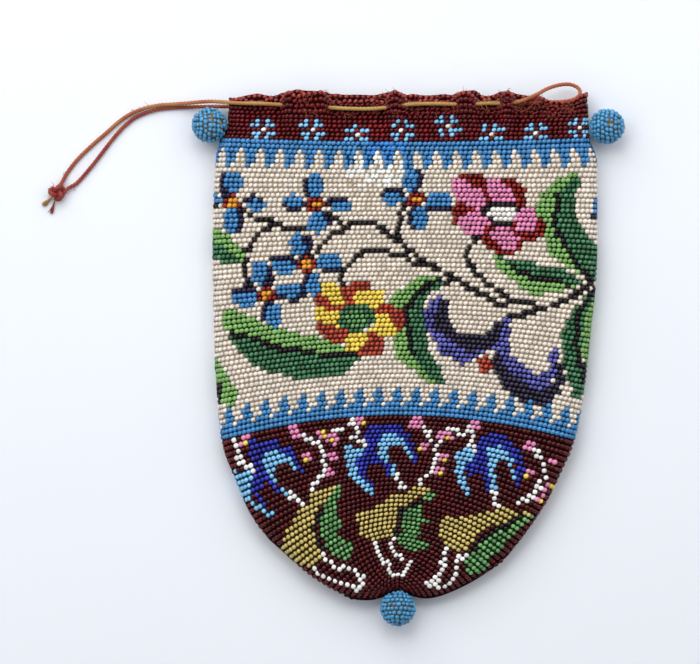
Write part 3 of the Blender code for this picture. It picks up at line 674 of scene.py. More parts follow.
# %% Stems and leaves
STEMS = (
    (
        (312, 257), (330, 235), (344, 230), (354, 222), (371, 221), (412, 252), (424, 262), (436, 268),
        (444, 273), (455, 278), (462, 284), (482, 294), (493, 301), (505, 307),
    ),
    ((405, 206), (401, 212), (402, 219), (397, 224), (400, 238)),
    (
        (344, 288), (341, 279), (346, 268), (357, 256), (364, 252), (388, 251), (392, 256), (404, 256),
        (408, 261), (422, 267),
    ),
    ((330, 214), (335, 219), (341, 222)),
    ((238, 207), (261, 222), (280, 222), (284, 227), (307, 227)),
    ((270, 226), (262, 230), (253, 240), (245, 255), (245, 260), (242, 266), (245, 280), (251, 283)),
    (
        (478, 236), (469, 247), (466, 255), (468, 262), (475, 271), (487, 283), (493, 287), (513, 302),
        (524, 303), (536, 306), (548, 307), (559, 304), (586, 288), (592, 283),
    ),
    ((544, 308), (529, 313), (517, 316), (510, 316)),
    ((455, 279), (447, 282), (438, 281)),
)
top_right_midrib = ((558, 195), (555, 212), (555, 229), (565, 245), (570, 255), (580, 269), (592, 278))
mid_right_midrib = ((514, 269), (533, 277), (555, 279), (570, 286))
big_left_midrib = ((230, 334), (246, 336), (261, 342), (282, 349), (302, 351), (327, 356), (357, 353))
middle_midrib = ((440, 279), (427, 286), (414, 298), (408, 306), (407, 321), (409, 336), (412, 352))
right_edge_midrib = ((594, 290), (585, 303), (580, 316), (578.5, 326), (577, 340), (577.5, 352), (579, 364))
LEAVES = (
    ("light_green", (
        (567, 174), (552, 184), (541, 195), (536, 210), (548, 251), (555, 258), (586, 279),
        *top_right_midrib[::-1], (578, 174),
    )),
    ("dark_green", (
        *top_right_midrib, (598, 280), (598, 245), (578, 225), (575, 214), (573, 197), (580, 184),
        (578, 173),
    )),
    ("light_green", (
        (490, 253), (496, 267), (522, 289), (532, 294), (556, 294), (582, 285), *mid_right_midrib[::-1],
    )),
    ("dark_green", (
        (492, 253), (510, 259), (526, 259), (538, 265), (551, 267), (568, 272), (583, 283),
        *mid_right_midrib[::-1],
    )),
    ("light_green", (
        (222, 309), (234, 311), (251, 318), (271, 327), (292, 332), (317, 337), (333, 341),
        *big_left_midrib[::-1], (222, 326),
    )),
    ("dark_green", (
        (231, 342), (239, 352), (246, 359), (261, 371), (276, 373), (292, 378), (308, 380), (343, 374),
        (351, 367), (360, 357), *big_left_midrib[::-1],
    )),
    ("light_green", (
        (420, 278), (395, 292), (390, 301), (396, 358), (412, 369), (422, 379), (436, 384),
        *middle_midrib[::-1],
    )),
    ("dark_green", (
        (443, 283), (428, 296), (424, 306), (428, 347), (433, 360), (443, 374), (445, 386), (433, 381),
        (420, 368), *middle_midrib[::-1],
    )),
    ("light_green", ((209, 226), (220, 228), (244, 250), (245, 263), (209, 238))),
    ("dark_green", ((209, 238), (226, 250), (243, 264), (226, 265), (209, 256))),
    ("light_green", ((210, 356), (217, 358), (239, 394), (238, 402), (231, 407), (222, 405))),
    ("dark_green", (
        (600, 284), (590, 290), (581, 303), (568, 317), (561, 331), (561, 349), (566, 377), (572, 385),
        (573, 397), (581, 397), (588, 388), (588, 364), (583, 362),
    )),
    ("light_green", ((600, 300), (592, 304), (584, 318), (582, 343), (584, 361), (592, 362))),
)
MIDRIBS = (top_right_midrib, mid_right_midrib, big_left_midrib, middle_midrib, right_edge_midrib,
           ((219, 384), (219, 402)), ((584, 367), (583, 382)), ((212, 206), (216, 206)))

# %% Flowers: (middle, radii, and the side that a shadow shows on)
BLUE_PETALS = (
    ((233, 182.5), (7.8, 12), (-6.5, 3)), ((256, 205.5), (9.8, 5.8), (-3.5, -5)),
    ((232, 222), (8.2, 12.5), (5, -2)), ((215, 199.5), (6, 5), (0, 0)),
    ((316, 185), (7.6, 12.5), (-6.5, 3)), ((293, 200.5), (11.7, 5.8), (1, 5)),
    ((341, 207), (10, 6), (-3, -4.5)), ((316, 222.5), (9.3, 11.3), (5, -2)),
    ((409.5, 178.5), (7.5, 12.5), (5.5, 2)), ((393, 199), (13, 5.5), (0, -4.5)),
    ((439, 200), (13, 8), (0, 5)), ((420.5, 217.5), (8.5, 11.5), (-5.5, 0)),
    ((297.5, 244), (7.4, 12), (6.5, 2.5)), ((283, 267.5), (13, 7.3), (-1, -5)),
    ((328, 262), (13, 7.6), (2, 4.5)), ((313.5, 285), (7.2, 11), (-5.5, -2)),
    ((259, 272.5), (9.2, 12), (5.5, 2)), ((245, 298.5), (12.6, 7.4), (1, -6)),
    ((290, 290), (13, 7), (1.5, 5)), ((274.5, 315), (8.2, 12), (-5.5, -2)),
    ((596, 207), (4, 8), (0, 5)),
)
BLUE_FLOWER_MIDDLES = ((231, 202.5), (314.5, 204.8), (415, 199), (305.5, 264.5), (266, 294.5))
blue_flower_heart = (("dark_red", (9.6, 7.6)), ("orange", (5.2, 4.4)))
PINK_FLOWER = (
    ("dark_red", (
        (458, 176), (482, 176), (489, 190), (489, 206), (458, 224), (452, 223), (451, 209), (458, 204),
    )),
    ("dark_red", (
        (487, 177), (512, 177), (523, 186), (527, 198), (525, 210), (540, 216), (546, 226), (543, 236),
        (533, 243), (520, 242), (519, 250), (513, 257), (500, 255), (488, 249), (481, 244), (481, 235),
        (486, 224), (516, 208),
    )),
    ("pink", (
        (454, 180), (466, 178), (473, 185), (480, 190), (487, 197), (487, 205), (468, 205), (459, 203),
        (452, 195), (451, 185),
    )),
    ("pink", ((486, 177), (496, 177), (509, 189), (515, 194), (517, 202), (491, 202), (487, 195))),
    ("pink", (
        (467, 210), (478, 209), (489, 216), (491, 224), (485, 231), (481, 234), (466, 234), (458, 226),
        (458, 220), (464, 215),
    )),
    ("pink", (
        (495, 226), (511, 227), (512, 235), (519, 238), (519, 245), (514, 252), (505, 250), (492, 240),
        (490, 232),
    )),
    ("pink", ((522, 207), (533, 208), (538, 217), (537, 229), (521, 232), (515, 228), (514, 220))),
    ("black", ((488, 204), (512, 203), (518, 209), (512, 226), (498, 227), (480, 214), (483, 207))),
    ("white", ((493, 207), (512, 207), (519, 215), (512, 222), (499, 221), (487, 214))),
)
YELLOW_FLOWER = (
    ("brick", ((314, 297), (323, 292), (344, 306), (338, 311), (319, 308))),
    ("brick", ((343, 304), (341, 290), (351, 282), (366, 281), (371, 287), (354, 304))),
    ("brick", (
        (378, 305), (391, 305), (401, 310), (404, 321), (401, 331), (396, 332), (396, 325), (389, 314),
        (374, 315),
    )),
    ("brick", ((368, 329), (372, 327), (384, 337), (384, 346), (379, 354), (357, 356))),
    ("brick", ((316, 320), (325, 324), (354, 331), (343, 341), (332, 342), (323, 335), (317, 329))),
    ("yellow", (
        (320, 281), (337, 281), (338, 285), (341, 287), (343, 295), (344, 306), (336, 306), (324, 297),
    )),
    ("yellow", ((355, 294), (359, 289), (384, 291), (384, 304), (376, 308), (355, 305))),
    ("yellow", (
        (374, 315), (389, 314), (391, 320), (396, 324), (395, 335), (382, 336), (370, 330), (373, 324),
    )),
    ("yellow", ((347, 331), (368, 330), (366, 341), (359, 352), (347, 352), (345, 339))),
    ("yellow", ((316.5, 308), (337, 310), (346, 326), (338, 327), (325, 323), (317.4, 319))),
)
# The yellow flower's two greens and the violet flower's red heart: colour, middle and radii
HEARTS = (
    ("dark_green", (356, 317.5), (18, 14)), ("mid_green", (356, 318.5), (12.5, 8.5)),
    ("brick", (484.5, 364.5), (7.6, 8)),
)

# %% The violet flower
IRIS = (
    ("violet", (
        (437, 297), (427, 304), (423, 314), (426, 329), (430, 334), (434, 342), (442, 354), (462, 365.5),
        (471, 363), (479, 356), (488, 351), (506, 345), (511, 319), (503, 318), (490, 332), (462, 336),
        (452, 327), (446, 299),
    )),
    ("ink", (
        (439, 298), (448, 298), (447, 311), (453, 324), (459, 332), (479, 334), (487, 331), (493, 327.5),
        (501, 318), (502, 324), (497, 337), (492, 346), (483, 350), (472, 352), (462, 349), (444, 335.5),
        (436, 330), (434, 318),
    )),
    ("violet", (
        (496, 340), (509, 340), (508, 351), (515, 360), (526, 366), (531, 374), (541, 375), (547, 371),
        (551, 353), (555, 347), (560, 355), (558, 366), (552, 382), (542, 389), (528, 387), (496, 361),
    )),
    ("ink", (
        (492, 354), (498, 350), (504, 356), (502, 363), (509, 370), (528, 386.7), (542, 390), (553, 382),
        (555.4, 371.4), (560, 360.8), (564, 363), (563, 382), (558, 395), (547, 404), (540, 406),
        (527, 403), (517, 398.5), (507, 390.3), (498, 381), (492, 369),
    )),
)

# %% Swallows, twigs and blossoms in the base
SWALLOWS = (
    ("royal", (
        (371, 423), (397, 423), (409, 435), (413, 443), (419, 462), (414.5, 462), (409, 447), (383, 433),
        (376, 449), (391, 465), (392, 476), (388, 475), (378, 463), (368, 463), (366, 478), (372, 481),
        (373, 487), (358, 476), (356, 462), (359, 454), (366, 452), (365, 437), (367, 430),
    )),
    ("sky", (
        (383, 432), (394, 432), (405, 442), (409, 447), (412, 458), (408, 458), (402, 446), (390, 446),
        (388, 450), (388, 464), (384, 463), (377, 450), (377, 444),
    )),
    ("sky", (
        (344, 447), (365, 446), (366, 454), (359, 455), (357, 462), (356, 474), (368, 486), (373, 486),
        (372, 495), (347, 476), (346.5, 462),
    )),
    ("sky", ((391, 463), (395, 466), (396, 476), (392, 476))),
    ("royal", (
        (472, 446), (484, 436), (500, 433), (512, 441), (524, 456), (524, 474), (519, 488), (515, 486),
        (516, 460), (488, 456), (490, 474), (488, 492), (484, 492), (482, 472), (470, 478), (466, 470),
    )),
    ("sky", (
        (488, 448), (500, 444), (512, 456), (516, 480), (511, 478), (508, 464), (496, 456), (496, 472),
        (498, 494), (492, 494), (488, 470),
    )),
    ("sky", (
        (454, 449), (474, 449), (474, 460), (464, 466), (466, 480), (470, 499), (462, 490), (455, 476),
    )),
    ("royal", (
        (250, 440), (277, 440), (284, 446.5), (294, 449), (299, 458), (303, 474), (264, 451), (268, 480),
        (287, 494), (282, 496), (266, 484), (262, 489), (260, 494), (269, 506), (265, 508), (252, 494),
        (248, 470), (250, 463), (248, 455),
    )),
    ("sky", (
        (264, 450), (277, 450), (294, 460), (298, 470), (294, 472), (290, 466), (276, 462), (275, 469),
        (276, 480), (279, 486), (288, 494), (283, 495), (274, 482), (267, 478), (262, 457),
    )),
    ("sky", (
        (234.5, 471), (253, 469), (250, 485), (250, 494), (255, 502), (264, 505), (276, 516), (273, 519),
        (250, 506), (244, 500), (239, 492), (234, 478),
    )),
)
TWIGS = (
    ((353, 418), (350, 423), (357, 430), (357, 435), (350, 436)),
    ((356, 438), (367, 447)),
    ((334, 432), (343, 431)),
    ((398.3, 475), (395, 479)),
    ((398, 479), (400, 484), (405, 489)),
    ((361, 443), (366, 443), (367, 447)),
    ((473, 449), (476, 454)),
    ((247, 467), (253, 470)),
    (
        (300, 435), (312, 441.8), (321, 447), (323, 454), (322, 461), (324, 468), (320, 479), (314, 485),
        (312, 491),
    ),
    (
        (423, 426), (428, 432), (431.8, 441.3), (437, 446), (436, 465), (431, 473), (424, 477),
        (419.7, 482),
    ),
    ((439, 442), (450, 430), (459, 432), (464, 437)),
    ((468, 425), (468, 429), (473, 437), (469, 443), (477, 454)),
    ((496, 492), (492, 494)),
    ((495, 497), (495, 502), (497, 508)),
    ((535, 449), (547, 469), (544, 478), (539, 486), (538, 491), (529, 498), (520, 501), (514, 504.5)),
    ((235, 438), (234, 446), (241, 453), (242, 458), (236, 459)),
    ((240, 463), (247, 465), (253, 470)),
    ((290, 492), (290, 496)),
    ((292, 496), (296, 501), (302, 503)),
)
# Each blossom is a block of four beads round its middle; the yellow one lies on the side that is given
BLOSSOMS = (
    (360.7, 419.4, 1, 1), (294.7, 428.5, 0, 0), (294.5, 436.2, 0, 0), (322.8, 436.5, 1, -1),
    (333.5, 439.8, -1, 1), (305.8, 455.7, -1, 1), (332, 458.5, 1, 1), (331, 473.8, 1, 1), (416, 417.5, 0, 0),
    (414, 424.5, 0, 0), (419.5, 422, 0, 0), (440.5, 435.2, 1, -1), (448.6, 436.4, -1, 1), (424, 447.7, -1, 1),
    (444, 459.2, 1, 1), (439.6, 471.6, 1, 1), (475, 426.6, 0, 0), (529, 445.5, 0, 0), (553.5, 462, 1, -1),
    (529.8, 472, -1, 1), (549, 486.4, 1, 1), (539, 499.4, 1, 1), (243.6, 440.4, 1, 1),
)
blossom_reach = 4.8

# %% Birds in the base
BIRDS = (
    ("ochre", (
        (353, 516), (366, 513), (390, 496.5), (405, 492), (416, 486), (438, 487), (405, 506), (396, 520),
        (396, 535), (372, 540), (356, 535), (359, 528),
    )),
    ("mid_green", (
        (439, 490), (430, 499), (422, 504.7), (419, 512), (427, 520), (431, 522), (423, 525), (419, 539),
        (430, 544), (426, 551), (407, 551), (400, 546), (398, 538), (400, 532), (401, 514), (407, 509),
        (418, 507), (427, 494),
    )),
    ("black", (
        (422, 500), (408, 505), (399, 509), (395, 522), (394, 537), (398, 537), (399, 522), (402, 511),
        (412, 508), (422, 503),
    )),
    ("ochre", (
        (444, 514), (449, 517), (466, 518), (493, 509.5), (510, 507), (532, 515), (507, 523), (496, 524),
        (482, 529), (474, 539), (466, 551), (463, 552.7), (445, 546), (440, 538), (439, 528), (441, 521),
    )),
    ("mid_green", (
        (534, 514), (533, 518), (511, 539), (506, 543), (506, 548), (493, 555), (489, 564), (482, 573),
        (473, 576), (466, 570), (464, 561), (490, 531), (508, 532), (513, 522), (522, 517),
    )),
    ("black", (
        (528, 513), (514, 520), (484, 532), (475, 543), (466, 551), (469, 554), (478, 547), (487, 536),
        (503, 530), (516, 524),
    )),
    ("ochre", (
        (336, 485), (309, 495), (308, 503), (295, 512), (293, 520), (288, 528), (286, 533), (279.5, 546),
        (285, 553), (295, 562), (307, 569), (322, 558), (313, 519), (321, 505), (330, 497),
    )),
    ("mid_green", (
        (340, 489), (337, 508), (336, 517), (345, 523), (340, 529), (339, 533), (342, 539), (354, 543),
        (356, 550), (348, 558), (342, 561), (333, 556), (322, 538), (318, 528), (324, 506), (339, 485),
    )),
    ("black", (
        (325, 502), (315, 518), (313, 531), (317, 543), (322, 552), (325, 549), (317, 530), (319, 518),
        (324, 509),
    )),
)
LEGS = (
    ((374, 543), (375, 551), (381, 556), (388, 566), (393, 574), (401, 576), (408, 570), (409, 561)),
    ((395, 537), (392, 542), (393, 550), (402, 558)),
    ((447, 550), (445, 556), (442, 568), (439, 577.6), (428, 583), (437, 587)),
    ((437, 588), (448, 586), (456, 578), (455, 568), (459, 559), (465, 555)),
    ((324, 555), (331, 565), (343, 568.5), (356, 572), (363, 578), (360, 590)),
    ((360, 590), (347, 584), (335, 581), (322, 576), (314, 570)),
)

# %% Zigzags, collar flowers and mends
# First round, the way the teeth point, and the chart x of one tip
ZIGZAGS = ((base_rounds, 1, 381.3), (base_rounds + band_rounds - 1, -1, 505.0))
TEETH = ((0, 1, 2, 3), (0, 1, 2, 3), (0, 1, 2), (1, 2), (1, 2), (2,))
teeth_apart = 4
COLLAR_FLOWERS = (
    (265, 129, "white"), (311, 129, "white"), (358, 133, "white"), (402, 129, "white"), (448, 128, "white"),
    (492, 132.5, "cream"), (533, 134, "white"), (581, 128.5, "white"),
)
collar_step = 4.8
flower_reach = 14
# Old glass, new glass, the share that is replaced, and the middle and radii of the patch
MENDS = (
    ("cream", "white", 0.72, (375, 170), (30, 19)), ("blue", "bright_blue", 1, (386, 150), (20, 11)),
    ("maroon", "bright_red", 1, (372, 130), (17, 9)),
)

# %% Which shape holds a bead
line_half_width = 2.5
facing_sideways = 0.8
plan_x = chart_x(bead_at[:, 0])
plan_y = chart_y(bead_at[:, 1])
on_front = bead_at[:, 2] > fold_radius
in_base = bead_round < base_rounds
in_collar = bead_round >= base_rounds + band_rounds


def inside(corners):
    """Which beads lie inside the closed outline."""
    held = np.zeros(bead_count, bool)
    for (x0, y0), (x1, y1) in zip(corners, corners[1:] + corners[:1]):
        if y0 != y1:
            crosses = (y0 > plan_y) != (y1 > plan_y)
            held ^= crosses & (plan_x < (x1 - x0) * (plan_y - y0) / (y1 - y0) + x0)
    return held


def on_line(line):
    """Which beads lie under a line that is one bead wide."""
    nearest = np.full(bead_count, np.inf)
    for (x0, y0), (x1, y1) in zip(line, line[1:]):
        way = np.array([x1 - x0, y1 - y0])
        along = np.clip(((plan_x - x0) * way[0] + (plan_y - y0) * way[1]) / (way @ way), 0, 1)
        nearest = np.minimum(nearest, np.hypot(plan_x - x0 - along * way[0], plan_y - y0 - along * way[1]))
    return nearest < line_half_width


def oval(middle, radii):
    """Which beads lie inside an oval."""
    return ((plan_x - middle[0]) / radii[0]) ** 2 + ((plan_y - middle[1]) / radii[1]) ** 2 < 1


# %% Colour the beads
colour = np.full(bead_count, COLOUR_NUMBER["cream"])


def paint(where, name):
    colour[where] = COLOUR_NUMBER[name]


def colour_the_band():
    for line in STEMS:
        paint(on_line(line), "black")
    for name, corners in LEAVES:
        paint(inside(corners), name)
    for line in MIDRIBS:
        paint(on_line(line), "black")
    for (x, y), radii, (dx, dy) in BLUE_PETALS:
        if dx or dy:
            paint(oval((x + dx, y + dy), radii), "navy")
    for middle, radii, _ in BLUE_PETALS:
        paint(oval(middle, radii), "blue")
    for middle in BLUE_FLOWER_MIDDLES:
        for name, radii in blue_flower_heart:
            paint(oval(middle, radii), name)
    for name, corners in PINK_FLOWER + YELLOW_FLOWER + IRIS:
        paint(inside(corners), name)
    for name, middle, radii in HEARTS:
        paint(oval(middle, radii), name)


def colour_the_base():
    """The edge of the base is painted a little lighter, as painted light: light comes through its beads from
    the side.
    """
    paint(in_base, "deep_maroon")
    # Painted light: the base's beads that face sideways take the lighter maroon glass
    paint(in_base & (np.abs(bead_out[:, 2]) < facing_sideways), "maroon")
    for name, corners in SWALLOWS:
        paint(in_base & inside(corners), name)
    for line in TWIGS:
        paint(in_base & on_line(line), "white")
    for x, y, side_x, side_y in BLOSSOMS:
        around = in_base & (np.maximum(np.abs(plan_x - x), np.abs(plan_y - y)) < blossom_reach)
        paint(around, "pink")
        if side_x:
            paint(around & ((plan_x - x) * side_x > 0) & ((plan_y - y) * side_y > 0), "yellow")
    for name, corners in BIRDS:
        paint(in_base & inside(corners), name)
    for line in LEGS:
        paint(in_base & on_line(line), "white")


def colour_the_zigzags():
    """Two full rounds, then teeth of three, two, two and one bead in every four."""
    for first, way, tip_x in ZIGZAGS:
        of_tip = np.flatnonzero((bead_round == first + (len(TEETH) - 1) * way) & on_front)
        tip = bead_column[of_tip[np.argmin(np.abs(plan_x[of_tip] - tip_x))]]
        step = (way * (bead_column - tip) + TEETH[-1][0]) % teeth_apart
        for row, steps in enumerate(TEETH):
            paint((bead_round == first + row * way) & np.isin(step, steps), "blue")


def colour_the_collar():
    """Each flower is a middle bead and four corner clusters of three, counted from the middle."""
    paint(in_collar, "maroon")
    for x, y, heart in COLLAR_FLOWERS:
        for face in (in_collar & on_front, in_collar & ~on_front):
            of_face = np.flatnonzero(face)
            middle = of_face[np.argmin(np.hypot(plan_x[of_face] - x, plan_y[of_face] - y))]
            row = np.abs(bead_round - bead_round[middle])
            step = np.abs(np.round((plan_x - plan_x[middle]) / collar_step))
            corner = ((row == 1) & (step > 0) & (step < 3)) | ((row == 2) & (step == 1))
            paint(face & corner & (np.abs(plan_y - plan_y[middle]) < flower_reach), "sky")
            paint(middle, heart)


def colour_the_mends():
    """Later repairs in newer glass under the collar, and the last rounds of the rim painted a lighter red as
    painted light, where they face up into the light.
    """
    draw = rng.uniform(0, 1, bead_count)
    for old, new, share, middle, radii in MENDS:
        paint(on_front & (draw < share) & (colour == COLOUR_NUMBER[old]) & oval(middle, radii), new)
    # Painted light: the rim's upturned last rounds take a lighter red
    of_rim = (colour == COLOUR_NUMBER["maroon"]) & (bead_round >= len(rounds) - 1 - ~on_front)
    paint(of_rim, "painted_lit_rim_red")


colour_the_band()
colour_the_base()
colour_the_zigzags()
colour_the_collar()
colour_the_mends()
print({name: int((colour == number).sum()) for name, number in COLOUR_NUMBER.items()})

# %% [markdown]
# ## One bead, many times
#
# A seed bead is a short piece of glass tube with fire-rounded edges. In the fabric only its outer half
# shows, as a leaning oval about 2 mm long, so a bead is a dome of 25 points: three rings and a top.
# Copies as objects would be slow, so the domes of a zone are written into one mesh with array arithmetic.
# No two hand-threaded beads sit alike: each is a little larger or smaller, turned and pushed.

# %% The dome
dome_around = 8
dome_squareness = 2.6
dome_levels = np.radians([-24.0, 16.0, 52.0])
dome_angles = np.linspace(0, math.tau, dome_around, endpoint=False)


def dome_template():
    """Points of a rounded dome of radius 1, and its faces: rows of four-sided ones and a cap."""
    points = []
    for level in dome_levels:
        for angle in dome_angles:
            c = math.cos(angle)
            s = math.sin(angle)
            square = 1 / (abs(c) ** dome_squareness + abs(s) ** dome_squareness) ** (1 / dome_squareness)
            points.append((math.cos(level) * square * c, math.cos(level) * square * s, math.sin(level)))
    points.append((0, 0, 1))
    rows = len(dome_levels)
    last = (rows - 1) * dome_around
    caps = [(last + k, last + (k + 1) % dome_around, len(points) - 1) for k in range(dome_around)]
    return np.array(points), grid_faces(rows, dome_around, closed=True), np.array(caps)


DOME, DOME_QUADS, DOME_CAPS = dome_template()


def lay_beads(name, at, out, long_way, half_length, half_width, rise, glass):
    """A mesh of domes; glass holds each bead's colour number."""
    count = len(at)
    short_way = np.cross(out, long_way)
    points = at[:, None, :] + np.zeros((1, len(DOME), 1))
    for k, (way, reach) in enumerate(((long_way, half_length), (short_way, half_width), (out, rise))):
        points = points + way[:, None, :] * (DOME[None, :, k] * reach[:, None])[:, :, None]
    start = np.arange(count)[:, None, None] * len(DOME)
    quads = (DOME_QUADS[None] + start).reshape(-1, 4)
    caps = (DOME_CAPS[None] + start).reshape(-1, 3)
    corners = np.concatenate([quads.ravel(), caps.ravel()])
    starts = np.concatenate([np.arange(len(quads)) * 4, len(quads) * 4 + np.arange(len(caps)) * 3])
    data = bpy.data.meshes.new(name)
    data.vertices.add(count * len(DOME))
    data.vertices.foreach_set("co", points.astype(np.float32).ravel())
    data.loops.add(len(corners))
    data.loops.foreach_set("vertex_index", corners.astype(np.int32))
    data.polygons.add(len(starts))
    data.polygons.foreach_set("loop_start", starts.astype(np.int32))
    data.update(calc_edges=True)
    data.validate()
    used, slots = np.unique(glass, return_inverse=True)
    for number in used:
        data.materials.append(bead_materials[number])
    per_face = np.concatenate([np.repeat(slots, len(DOME_QUADS)), np.repeat(slots, len(DOME_CAPS))])
    data.polygons.foreach_set("material_index", per_face.astype(np.int32))
    # The height within the dome, which the glass reads to paint shade towards each bead's seat
    store(data, "height", np.tile(DOME[:, 2], count))
    data.shade_smooth()
    print(name, count, "beads")
    return link_object(name, data)


# %% [markdown]
# ## Bead glass
#
# Seed beads are drawn soda glass: the index of refraction is about 1.52, and the fire-polished surface
# is smooth, with a sharp small highlight. The pale kinds and the border's blue are opaque. The maroon,
# dark green, royal blue, violet and black kinds are clear and deeply coloured, so their tint varies more.
# Every bead is painted darker towards its seat, as painted shade where it sinks between its neighbours,
# the clear kinds more than the opaque ones: the height stored in the dome tells the material how deep it
# is. Each bead's colour differs a little, because batches of old glass were mixed: the random value of
# its mesh island shifts the brightness. A fine noise gives the slight ripples of drawn glass.

# %% A node with its settings and links


def linear(hex_colour):
    """A linear colour with alpha from a six-digit sRGB hex value."""
    shares = [int(hex_colour[i : i + 2], 16) / 255 for i in (0, 2, 4)]
    return [s / 12.92 if s <= 0.04045 else ((s + 0.055) / 1.055) ** 2.4 for s in shares] + [1.0]


def set_inputs(tree, node, inputs):
    """Gives each input its value, or a link where the value is another node's output."""
    for socket, value in inputs.items():
        if isinstance(value, bpy.types.NodeSocket):
            tree.links.new(value, node.inputs[socket])
        else:
            node.inputs[socket].default_value = value


def add(tree, kind, inputs=None, **settings):
    """A node of a kind, with its settings, its input values and its links."""
    made = tree.nodes.new(kind)
    for name, value in settings.items():
        setattr(made, name, value)
    set_inputs(tree, made, inputs or {})
    return made


def start_material(name, shown_colour):
    """A new material with its shader, and the coordinates of the object it is on."""
    made = bpy.data.materials.new(name)
    made.use_nodes = True
    made.diffuse_color = linear(shown_colour)
    tree = made.node_tree
    place = add(tree, "ShaderNodeTexCoord").outputs["Object"]
    return made, tree, tree.nodes["Principled BSDF"], place


bump_distance = 0.0001


def bumped(tree, height, strength):
    """The normal of a surface with fine relief."""
    bump = add(tree, "ShaderNodeBump", {"Height": height, "Strength": strength, "Distance": bump_distance})
    return bump.outputs["Normal"]


# %% Glass for the beads
glass_ior = 1.52
ripple_length = 0.0007
OPAQUE_GLASS = (
    "cream", "white", "pink", "yellow", "sky", "ochre", "orange", "light_green", "ball_blue", "blue",
    "bright_blue",
)
# Darkest and brightest tint, painted shade at a bead's seat between its neighbours, roughness, and strength
# of the highlight
opaque_look = (0.8, 1.12, 0.68, 0.16, 0.5)
clear_look = (0.65, 1.45, 0.4, 0.1, 0.32)


def bead_glass(name, hex_colour):
    made, tree, shader, place = start_material(f"{name}_bead_glass", hex_colour)
    darkest, brightest, shade_between_beads, roughness, highlight = opaque_look if name in OPAQUE_GLASS else clear_look
    bead = add(tree, "ShaderNodeNewGeometry")
    shift = add(tree, "ShaderNodeMapRange", {
        "Value": bead.outputs["Random Per Island"], "To Min": darkest, "To Max": brightest,
    })
    # Painted shade: the colour is darkened towards the bead's seat, where it sinks between its neighbours
    seat = add(tree, "ShaderNodeAttribute", attribute_name="height")
    painted_seat_shade = add(tree, "ShaderNodeMapRange", {
        "Value": seat.outputs["Fac"], "From Min": 0.1, "From Max": 0.75, "To Min": shade_between_beads, "To Max": 1.0,
    })
    value = add(tree, "ShaderNodeMath", {
        0: shift.outputs["Result"], 1: painted_seat_shade.outputs["Result"],
    }, operation="MULTIPLY")
    tint = add(tree, "ShaderNodeHueSaturation", {"Color": linear(hex_colour), "Value": value.outputs[0]})
    ripple = add(tree, "ShaderNodeTexNoise", {"Vector": place, "Scale": 1 / ripple_length, "Detail": 1.0})
    set_inputs(tree, shader, {
        "Base Color": tint.outputs["Color"], "Normal": bumped(tree, ripple.outputs["Fac"], 0.25),
        "Roughness": roughness, "IOR": glass_ior, "Specular IOR Level": highlight,
    })
    return made


bead_materials = [bead_glass(name, hex_colour) for name, hex_colour in BEAD_GLASS.items()]

# %% How each bead sits
bead_half_length = 0.00103
bead_half_width = 0.00079
lean_angle = math.radians(28)
size_spread = 0.045
turn_spread = 0.13
seat_spread = 0.00004
slide_spread = 0.00006
mend_looseness = 2.4
roll_lift = 0.0012
roll_kept = (0.4, 1, 0)
roll_towards = (0, 0.4, 1.0)
usual_gap = 0.0017
least_stretch = 0.9
most_stretch = 1.2
fold_rise = 0.00015
at_fold_below = 0.5
standing_slope = 1.2
roll_leaves_fold = 0.3
# The glass kinds that are smaller than the others
SMALLER_GLASS = (
    ("cream", 0.95), ("ochre", 0.84), ("mid_green", 0.88), ("royal", 0.94), ("sky", 0.94),
    ("painted_lit_rim_red", 0.9), ("dark_green", 0.91), ("dark_red", 0.92), ("brick", 0.93), ("violet", 0.93),
    ("ink", 0.93), ("black", 0.95),
)

mend = oval((380, 166), (40, 26)) & on_front
loose = np.where(mend, mend_looseness, 1.0)
size = 1 + rng.normal(0, size_spread, bead_count) * loose
# The back wall's last two rounds roll over, so they face up and towards the mouth
rolled = (bead_round >= len(rounds) - 2) & ~on_front & (np.abs(bead_out[:, 2]) > roll_leaves_fold)
bead_out[rolled] = unit(bead_out[rolled] * roll_kept + roll_towards)
bead_at[rolled, 2] += roll_lift
turn = lean_angle + rng.normal(0, turn_spread, bead_count) * loose
across_way = unit(np.cross(bead_out, bead_along))
bead_long = unit(np.cross(across_way, bead_out) * np.cos(turn)[:, None] + across_way * np.sin(turn)[:, None])
stretch = np.clip(bead_gap / usual_gap, least_stretch, most_stretch)
glass_size = np.ones(len(BEAD_GLASS))
for name, share in SMALLER_GLASS:
    glass_size[COLOUR_NUMBER[name]] = share
half_length = bead_half_length * glass_size[colour] * size
half_width = bead_half_width * glass_size[colour] * size * stretch
rise = bead_rise * size
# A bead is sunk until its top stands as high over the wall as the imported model's knobs, a little higher at
# the folds, and not at all on the side that lies on the table
facing_up = bead_out[:, 2]
above_table = np.clip(standing_slope * (1 + facing_up), 0, 1)
at_fold = np.abs(facing_up) < at_fold_below
inset = rise - (knob_height + fold_rise * at_fold) * above_table
inset += rng.normal(0, seat_spread, bead_count) * loose
bead_middle = bead_at - bead_out * np.maximum(inset, 0)[:, None]
bead_middle += bead_along * (rng.normal(0, slide_spread, bead_count) * loose)[:, None]
bead_middle[:, 2] = np.maximum(bead_middle[:, 2], rise * np.abs(facing_up))

